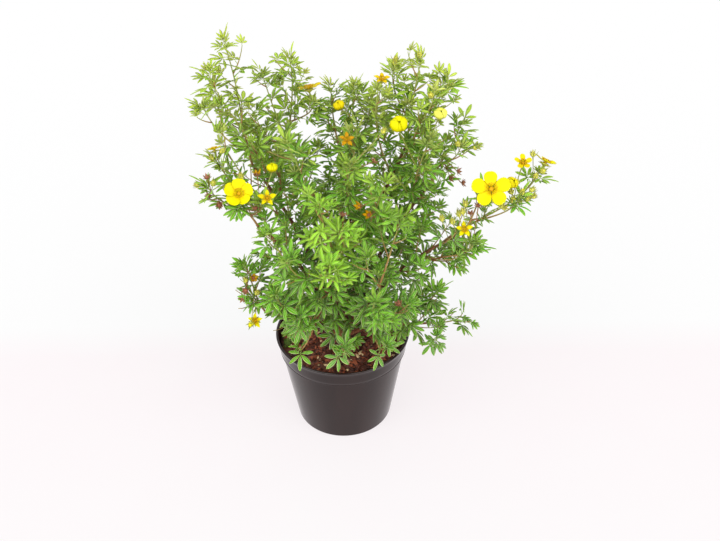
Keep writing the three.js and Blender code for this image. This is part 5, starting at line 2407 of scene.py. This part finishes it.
@dataclass
class Blooms:
    """All open blooms, each one piece."""

    growth: Growth
    stamens: int = 22
    seed: int = 700

    def build(self) -> None:
        """Builds every bloom in place of its solid."""
        for number, bloom in enumerate(self.growth.blooms):
            stream = np.random.default_rng(self.seed + number)
            draft = MeshDraft()
            form = PetalForm(bloom)
            for petal in range(PETAL_COUNT):
                form.add_to(draft, petal, stream)
            self.boss(draft, bloom)
            self.stamen_ring(draft, bloom, stream)
            draft.make("flower_" + bloom.name, "bloom_" + bloom.name)

    def boss(self, draft: MeshDraft, bloom: Bloom) -> None:
        """Adds the knob of pistils at the heart.

        Args:
            draft: The bloom's mesh.
            bloom: The bloom.
        """
        wide, high = bloom.size * 0.06, bloom.size * 0.05 + 0.5
        dome = ((0.95, 0.6), (0.6, 0.95), (0.15, 1.05))
        profile = [(wide, -0.7), (wide * 1.05, 0.5), *((wide * out, high * up) for out, up in dome)]
        age = 0.15 + 0.6 * bloom.ripeness
        draft.lathe(bloom.heart, bloom.faces, profile, POLLEN, 15, 0.05, age=age)

    def stamen_ring(self, draft: MeshDraft, bloom: Bloom, stream: Stream) -> None:
        """Adds stamens: thin threads with a golden grain at the end of each.

        Args:
            draft: The bloom's mesh.
            bloom: The bloom.
            stream: The stream that varies them.
        """
        long = bloom.size * 0.09 + 0.8
        for k in range(self.stamens):
            out = turned(bloom.faces, FULL_TURN * k / self.stamens + stream.normal(0, 0.1))
            axis = unit(bloom.faces + out * stream.uniform(0.45, 1.25))
            foot = bloom.heart + out * (bloom.size * 0.075) + bloom.faces * 0.4
            tip = foot + axis * long * stream.uniform(0.75, 1.1)
            draft.tube(straight_line(foot, tip), lambda t: 0.16 - 0.04 * t, PETALS, 3, 1, age=(0.2, 0.2))
            draft.lathe(tip, axis, ANTHER, POLLEN, 5, age=0.3 + 0.6 * bloom.ripeness)


@dataclass
class Canes:
    """The woody framework in one piece: crown, stubs and canes."""

    growth: Growth
    base_radius: float = 3.0
    end_radius: float = 1.5
    sides: int = 12
    steps: int = 36
    stub_count: int = 5
    seed: int = 77

    def build(self) -> None:
        """Builds the crown and the canes in place of the wood."""
        draft = MeshDraft()
        self.crown(draft)
        for number, line in enumerate(self.growth.canes.values()):
            self.cane(draft, line, number)
        self.stubs(draft)
        draft.make("woody_canes", "wood")

    def cane(self, draft: MeshDraft, line: StemLine, number: int) -> None:
        """Adds one cane with ridged bark and knots.

        Args:
            draft: The piece's mesh.
            line: The cane's line.
            number: The cane's number, which shifts its ridges.
        """
        foot, thinning = self.base_radius, self.end_radius - self.base_radius
        draft.tube(
            line,
            lambda t: foot + thinning * t,
            CANE_BARK,
            self.sides,
            self.steps,
            lambda turns, share: self.bark(turns, share, number),
            age=(0.0, 0.8),
        )

    @staticmethod
    def bark(turns: Array, share: float, number: int) -> Array:
        """Works out the factor that ridges and knots put on a cane's radius.

        Args:
            turns: Angles round the cane.
            share: The share along it.
            number: The cane's number.

        Returns:
            The factor at each angle.
        """
        ridges = 0.07 * np.sin(3 * turns + number + 5 * share) + 0.05 * np.sin(5 * turns - 11 * share)
        knot = 0.16 * math.exp(-(((share * 9 + number * 0.37) % 1 - 0.5) / 0.09) ** 2)
        return 1 + ridges + knot

    def crown(self, draft: MeshDraft) -> None:
        """Adds the knobbly stump.

        Args:
            draft: The piece's mesh.
        """
        radius, shoulder = CROWN.radius, CROWN.shoulder
        foot = [(radius - 1, CROWN.foot), (radius - 0.2, CROWN.foot + 12)]
        middle = [(radius, shoulder - 6), (radius, shoulder), (radius - 1.6, shoulder + 3)]
        top = [(radius - 4, CROWN.top), (1.5, CROWN.top + 0.6)]
        draft.lathe(np.zeros(3), UP, foot + middle + top, CANE_BARK, 30, 0.05)

    def stubs(self, draft: MeshDraft) -> None:
        """Adds the stubs of old canes that were cut back.

        Args:
            draft: The piece's mesh.
        """
        stream = np.random.default_rng(self.seed)
        for k in range(self.stub_count):
            turn = k * GOLDEN_TURN + 0.6
            out = np.array([math.cos(turn), math.sin(turn), 0])
            start = out * 5 + UP * (CROWN.shoulder - 2)
            end = start + unit(out * 0.5 + UP) * stream.uniform(12, 20)
            draft.tube(straight_line(start, end), lambda t: 2.1 - 0.4 * t, CANE_BARK, 9, 5, age=(0, 0.1))


@dataclass
class BarkBed:
    """The growing medium: its body, the loose chips and fibres on it, and a little moss."""

    chips: int = 1500
    pale_every: int = 30
    longest_chip: float = 16.0
    fibres: int = 170
    moss_leaves: int = 420
    rings: int = 22
    sectors: int = 96
    moss_at: tuple[float, float] = (-70.0, -12.0)
    lump: float = 1.5
    level_edge: float = 14.0
    seed: int = 29

    def __post_init__(self) -> None:
        """Opens the stream and works out how wide the top is."""
        self.stream = np.random.default_rng(self.seed)
        self.radius = POT.inside(MEDIUM_LEVEL) - GAP

    def build(self) -> None:
        """Builds the medium in place of its solid, then what lies on it."""
        self.body()
        self.loose_chips()
        self.loose_fibres()
        self.moss()

    def top(self, x: Array, y: Array) -> Array:
        """Works out the height of the lumpy top, as its solid has it.

        Args:
            x: Places across.
            y: Places in depth.

        Returns:
            The height at each.
        """
        coarse = np.sin(0.21 * x + 0.9) * np.cos(0.19 * y - 0.4)
        fine = np.sin(0.47 * x - 0.31 * y) * 0.6
        fade = smooth_step(self.radius, self.radius - self.level_edge, np.hypot(x, y))
        return MEDIUM_LEVEL + self.lump * (coarse + fine) * fade

    def body(self) -> None:
        """Builds the body, from the pot's floor to a crumbly top."""
        turns = turns_of(self.sectors)
        inner = POT.wall + GAP
        rings = [
            circle(POT.foot_radius - inner, POT.floor + GAP, turns),
            circle(POT.wall_top_radius - inner, POT.collar_foot, turns),
        ]
        for radius in np.linspace(self.radius, 0.4, self.rings):
            ring = circle(radius, 0.0, turns)
            crumbs = self.stream.normal(0, 0.5, self.sectors) if 1 < radius < self.radius - 1 else 0
            ring[:, 2] = self.top(ring[:, 0], ring[:, 1]) + crumbs
            rings.append(ring)
        ends = np.array([[0, 0, POT.floor + GAP], [0, 0, float(self.top(0.0, 0.0))]])
        tone = np.concatenate([self.stream.uniform(0.0, 0.6, len(rings) * self.sectors), [0.3, 0.3]])
        draft = MeshDraft()
        faces = closed_faces(len(rings), self.sectors)
        draft.add(np.concatenate([*rings, ends]), [(faces, BARK_CHIPS)], tone=tone)
        draft.make("bark_bed", "medium")

    def loose_chips(self) -> None:
        """Builds the loose flakes: flat six-cornered slabs, tilted and heaped at random."""
        draft = MeshDraft()
        faces = closed_faces(2, 6)
        for number in range(self.chips):
            pale = number % self.pale_every == 0
            length = self.stream.gamma(3.2, 1.8) + 2.8
            length = min(length * (1.5 if pale else 1), self.longest_chip)
            width = length * self.stream.uniform(0.25, 0.42 if pale else 0.65)
            thick = self.stream.uniform(0.7, 2.2)
            centre = self.resting_place(length)
            spin = self.tumble()
            slab = self.slab(length, width, thick)
            tone = 1.0 if pale else self.stream.beta(1.6, 1.7) * 0.93
            draft.add(centre + slab @ spin.T, [(faces, BARK_CHIPS)], tone=tone)
        draft.make("bark_flakes", smooth=False)

    def resting_place(self, length: float) -> Array:
        """Finds a random place on the top for a flake.

        Args:
            length: The flake's length.

        Returns:
            The place of its middle.
        """
        out = math.sqrt(self.stream.uniform(0.02, 1)) * (self.radius - length / 2 - 0.6)
        turn = self.stream.uniform(0, FULL_TURN)
        x, y = out * math.cos(turn), out * math.sin(turn)
        return np.array([x, y, self.top(x, y) + self.stream.uniform(-0.4, 1.4)])

    def tumble(self) -> Array:
        """Turns a flake at random, with a little tilt.

        Returns:
            The rotation.
        """
        tilt = self.stream.normal(0, 0.32, 2)
        spin = Matrix.Rotation(tilt[0], 3, "X") @ Matrix.Rotation(tilt[1], 3, "Y")
        return np.array(spin @ Matrix.Rotation(self.stream.uniform(0, 6.28), 3, "Z"))

    def slab(self, length: float, width: float, thick: float) -> Array:
        """Shapes a flake: two rough rings of six corners and the middle of each face.

        Args:
            length: Its length.
            width: Its width.
            thick: Its thickness.

        Returns:
            Its points.
        """
        rim, turns = self.stream.uniform(0.72, 1.12, 6), turns_of(6)
        flat = np.stack([np.cos(turns) * rim * length / 2, np.sin(turns) * rim * width / 2], 1)
        low = np.column_stack([flat, -thick / 2 + self.stream.normal(0, 0.15, 6)])
        high = np.column_stack([flat * 0.86, thick / 2 + self.stream.normal(0, 0.25, 6)])
        return np.concatenate([low, high, [[0, 0, -thick / 2]], [[0, 0, thick * 0.6]]])

    def loose_fibres(self) -> None:
        """Builds thin coir fibres that lie over the flakes."""
        draft = MeshDraft()
        for _ in range(self.fibres):
            out = math.sqrt(self.stream.random()) * (self.radius - 10)
            turn = self.stream.uniform(0, 6.28)
            start = np.array([out * math.cos(turn), out * math.sin(turn), 0])
            run = unit(self.stream.normal(0, 1, 3) * LEVEL) * self.stream.uniform(5, 15)
            end = start + run
            if math.hypot(end[0], end[1]) > self.radius - 1:
                end = start - run
            for place in (start, end):
                place[2] = self.top(place[0], place[1]) + self.stream.uniform(0.6, 2.2)
            bow = self.stream.normal(0, 1, 3) * [2.4, 2.4, 0.5] + UP * 0.6
            tone = self.stream.random()
            line = straight_line(start, end, bow)
            draft.tube(line, lambda t: 0.2 - 0.08 * t, COIR, 3, 6, tone=(tone, tone))
        draft.make("coir_fibres")

    def moss(self) -> None:
        """Builds the small moss pad at the pot's edge."""
        blades = []
        for _ in range(self.moss_leaves):
            spread = self.stream.normal(0, 3.4, 2)
            x, y = self.moss_at[0] + spread[0] * 0.8, self.moss_at[1] + spread[1] * 1.6
            if math.hypot(x, y) > self.radius - 3:
                continue
            height = 1.5 * math.exp(-(spread @ spread) / 30)
            origin = np.array([x, y, float(self.top(x, y)) + height])
            ahead = unit(self.stream.normal(0, 0.7, 3) * LEVEL + UP)
            length = self.stream.uniform(1.8, 3.4)
            tone = self.stream.random()
            blades.append(Blade(origin, ahead, across_of(ahead), length, 0.8, 0.2, tone, 0.5))
        draft = MeshDraft()
        add_blades(draft, blades, BRACT, MOSS, MOSS)
        draft.make("moss_pad")


@dataclass
class NurseryPot:
    """The moulded pot in one piece, with its collar, rolled lip and drainage holes."""

    size: PotSize
    sides: int = 144
    drain_sides: int = 24

    def build(self) -> None:
        """Builds the pot in place of its solid."""
        draft = MeshDraft()
        outline = self.outline()
        points = np.concatenate([circle(radius, height, turns_of(self.sides)) for radius, height in outline])
        draft.add(points, [(grid_faces(len(outline), self.sides), POT_PLASTIC)])
        self.floor(draft)
        draft.make("nursery_pot", "pot")

    @staticmethod
    def arc(radius: float, height: float, corner: float, span: tuple[float, float], steps: int) -> list:
        """Returns a round corner as radius and height pairs, over a span of degrees from straight out."""
        angles = np.linspace(*span, steps + 1) * DEGREE
        return [(radius + corner * math.cos(a), height + corner * math.sin(a)) for a in angles]

    def outline(self) -> list[tuple[float, float]]:
        """Lists the wall's section, from the foot up the outside and down the inside to the floor.

        Returns:
            Radius and height pairs.
        """
        s = self.size
        lip, lip_foot = s.lip_depth / 2, s.height - s.lip_depth
        slope = (s.wall_top_radius - s.foot_radius) / (s.collar_foot - s.foot_edge)
        heights = np.linspace(s.foot_edge + 1, s.collar_foot - 1.5, 14)
        wall = [(s.foot_radius + slope * (z - s.foot_edge), z) for z in heights]
        flare = (s.lip_radius - 0.8 - s.collar_radius) / (lip_foot - s.collar_foot)
        heights = np.linspace(s.collar_foot + 2.2, lip_foot - 0.4, 6)
        collar = [(s.collar_radius + flare * (z - s.collar_foot), z) for z in heights]
        foot = self.arc(s.foot_radius - s.foot_edge, s.foot_edge, s.foot_edge, (-90, 0), 4)
        bead = self.arc(s.collar_radius - 0.35, s.collar_foot + 0.9, 0.75, (-80, 60), 5)
        rim = self.arc(s.lip_radius - lip, s.height - lip, lip, (-40, 180), 11)
        inner = [(s.inside(z), z) for z in np.linspace(lip_foot - 0.45, s.collar_foot + 1, 5)]
        base = (s.foot_radius - s.wall, s.floor)
        return [*foot, *wall, (s.wall_top_radius, s.collar_foot - 0.2), *bead, *collar, *rim, *inner, base]

    def floor(self, draft: MeshDraft) -> None:
        """Adds the floor: a plate of two skins with round drainage holes.

        Args:
            draft: The pot's mesh.
        """
        s = self.size
        points, faces = self.plate(s.foot_radius - s.wall, s.floor)
        draft.add(points, [(faces, POT_PLASTIC)])
        points, faces = self.plate(s.foot_radius - s.foot_edge, 0.0)
        draft.add(points, [(faces[:, ::-1], POT_PLASTIC)])
        wall = grid_faces(2, self.drain_sides)[:, ::-1]
        for k in range(s.drains):
            rings = [np.column_stack([self.drain(k), np.full(self.drain_sides, z)]) for z in (0.0, s.floor)]
            draft.add(np.concatenate(rings), [(wall, POT_PLASTIC)])

    def drain(self, number: int) -> Array:
        """Returns the places round a drainage hole on the floor."""
        ring = circle(self.size.drain_radius, 0.0, turns_of(self.drain_sides))
        return ring[:, :2] + self.drain_middle(number)

    def drain_middle(self, number: int) -> Array:
        """Returns the middle of a drainage hole."""
        turn = FULL_TURN * (number + 0.5) / self.size.drains
        return self.size.drain_ring * np.array([math.cos(turn), math.sin(turn)])

    def plate(self, radius: float, height: float) -> tuple[Array, Array]:
        """Lays one skin of the floor round its holes.

        Args:
            radius: Its outer radius.
            height: Its height.

        Returns:
            Its points and triangles.
        """
        loops = [circle(radius, height, turns_of(self.sides))[:, :2]]
        loops += [self.drain(k) for k in range(self.size.drains)]
        coords, edges = [], []
        for loop in loops:
            first, count = len(coords), len(loop)
            coords += [Vector(place) for place in loop]
            edges += [(first + i, first + (i + 1) % count) for i in range(count)]
        made = delaunay_2d_cdt(coords, edges, [], 1, 1e-5)
        places = np.array([[v.x, v.y, height] for v in made[0]])
        kept = [face for face in made[2] if not self.in_drain(places[list(face)].mean(axis=0))]
        faces = np.array([face if self.turns_left(places[list(face)]) else face[::-1] for face in kept])
        return places, faces

    def in_drain(self, place: Array) -> bool:
        """Tells whether a place is over a drainage hole."""
        gaps = [math.hypot(*(place[:2] - self.drain_middle(k))) for k in range(self.size.drains)]
        return min(gaps) < self.size.drain_radius * 0.98

    @staticmethod
    def turns_left(corners: Array) -> bool:
        """Tells whether a triangle faces up."""
        return bool(np.cross(corners[1] - corners[0], corners[2] - corners[0])[2] > 0)


@dataclass
class Studio:
    """The plain stage: a pale sweep, soft light and the camera. Lengths are in metres."""

    target: tuple[float, float, float] = (0.023, 0.0, 0.221)
    distance: float = 1.0
    elevation: float = 35.5
    roll: float = -0.7
    lens: float = 41.25
    lamp_width: float = 60.0
    lamp_front: float = -0.75
    lamp_height: float = 0.65
    lamps: tuple[tuple[str, float, float], ...] = (("left light", -0.75, 2.5), ("right light", 0.75, 2.4))

    def build(self) -> None:
        """Builds the stage."""
        self.sweep()
        self.light()
        self.camera()
        bpy.context.scene.view_settings.view_transform = "Standard"

    def sweep(self) -> None:
        """Lays the floor sheet, which curves up far behind the pot."""
        width, front, bend, rise = 6.0, -3.0, 2.2, 1.6
        sections = [(front, 0.0), (bend, 0.0)]
        for angle in np.linspace(0, math.pi / 2, 13)[1:]:
            sections.append((bend + rise * math.sin(angle), rise * (1 - math.cos(angle))))
        points = [(x, float(y), float(z)) for y, z in sections for x in (-width, width)]
        mesh = bpy.data.meshes.new("floor_sheet")
        mesh.from_pydata(points, [], grid_faces(len(sections), 2, False)[:, ::-1].tolist())
        mesh.shade_smooth()
        mesh.materials.append(STUDIO_SHEET.material())
        sheet = bpy.data.objects.new("floor_sheet", mesh)
        bpy.context.scene.collection.objects.link(sheet)
        sheet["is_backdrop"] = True

    def light(self) -> None:
        """Sets an even white surround and a broad soft light to the left and right of the camera."""
        world = bpy.data.worlds.new("white surround")
        world.use_nodes = True
        world.node_tree.nodes.clear()
        inputs = {"Color": (1, 1, 1, 1), "Strength": 1.0}
        shade = add_node(world.node_tree, "ShaderNodeBackground", inputs=inputs)
        add_node(world.node_tree, "ShaderNodeOutputWorld", inputs={"Surface": shade.outputs[0]})
        bpy.context.scene.world = world
        for name, side, power in self.lamps:
            self.lamp(name, Vector((side, self.lamp_front, self.lamp_height)), power)

    def lamp(self, name: str, place: Vector, power: float) -> None:
        """Hangs a broad soft light so far off that it lights everything evenly.

        Args:
            name: Its name.
            place: The direction that it shines from.
            power: Its strength in watts a square metre.
        """
        data = bpy.data.lights.new(name, "SUN")
        data.angle = self.lamp_width * DEGREE
        data.energy = power
        lamp = bpy.data.objects.new(name, data)
        lamp.location = place
        lamp.rotation_euler = place.to_track_quat("Z", "Y").to_euler()
        bpy.context.scene.collection.objects.link(lamp)

    def camera(self) -> None:
        """Stands the camera where the photograph was taken from."""
        angle = self.elevation * DEGREE
        back = Vector((0, -math.cos(angle), math.sin(angle)))
        data = bpy.data.cameras.new("camera")
        data.lens = self.lens
        data.sensor_width = 36.0
        data.clip_start = 0.05
        camera = bpy.data.objects.new("camera", data)
        turn = (-back).to_track_quat("-Z", "Y").to_matrix() @ Matrix.Rotation(self.roll * DEGREE, 3, "Z")
        camera.matrix_world = Matrix.Translation(Vector(self.target) + back * self.distance) @ turn.to_4x4()
        bpy.context.scene.collection.objects.link(camera)
        bpy.context.scene.camera = camera


def main() -> None:
    """Builds the stage and the object, piece by piece."""
    logging.basicConfig(level=logging.INFO, format="%(message)s")
    Studio().build()
    NurseryPot(POT).build()
    BarkBed().build()
    growth = Growth()
    Canes(growth).build()
    Foliage(growth, Filling(growth)).build()
    Blooms(growth).build()
    total = sum(len(piece.data.polygons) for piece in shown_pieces())
    LOG.info("all pieces: %d faces", total)
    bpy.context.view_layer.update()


if __name__ == "__main__":
    main()
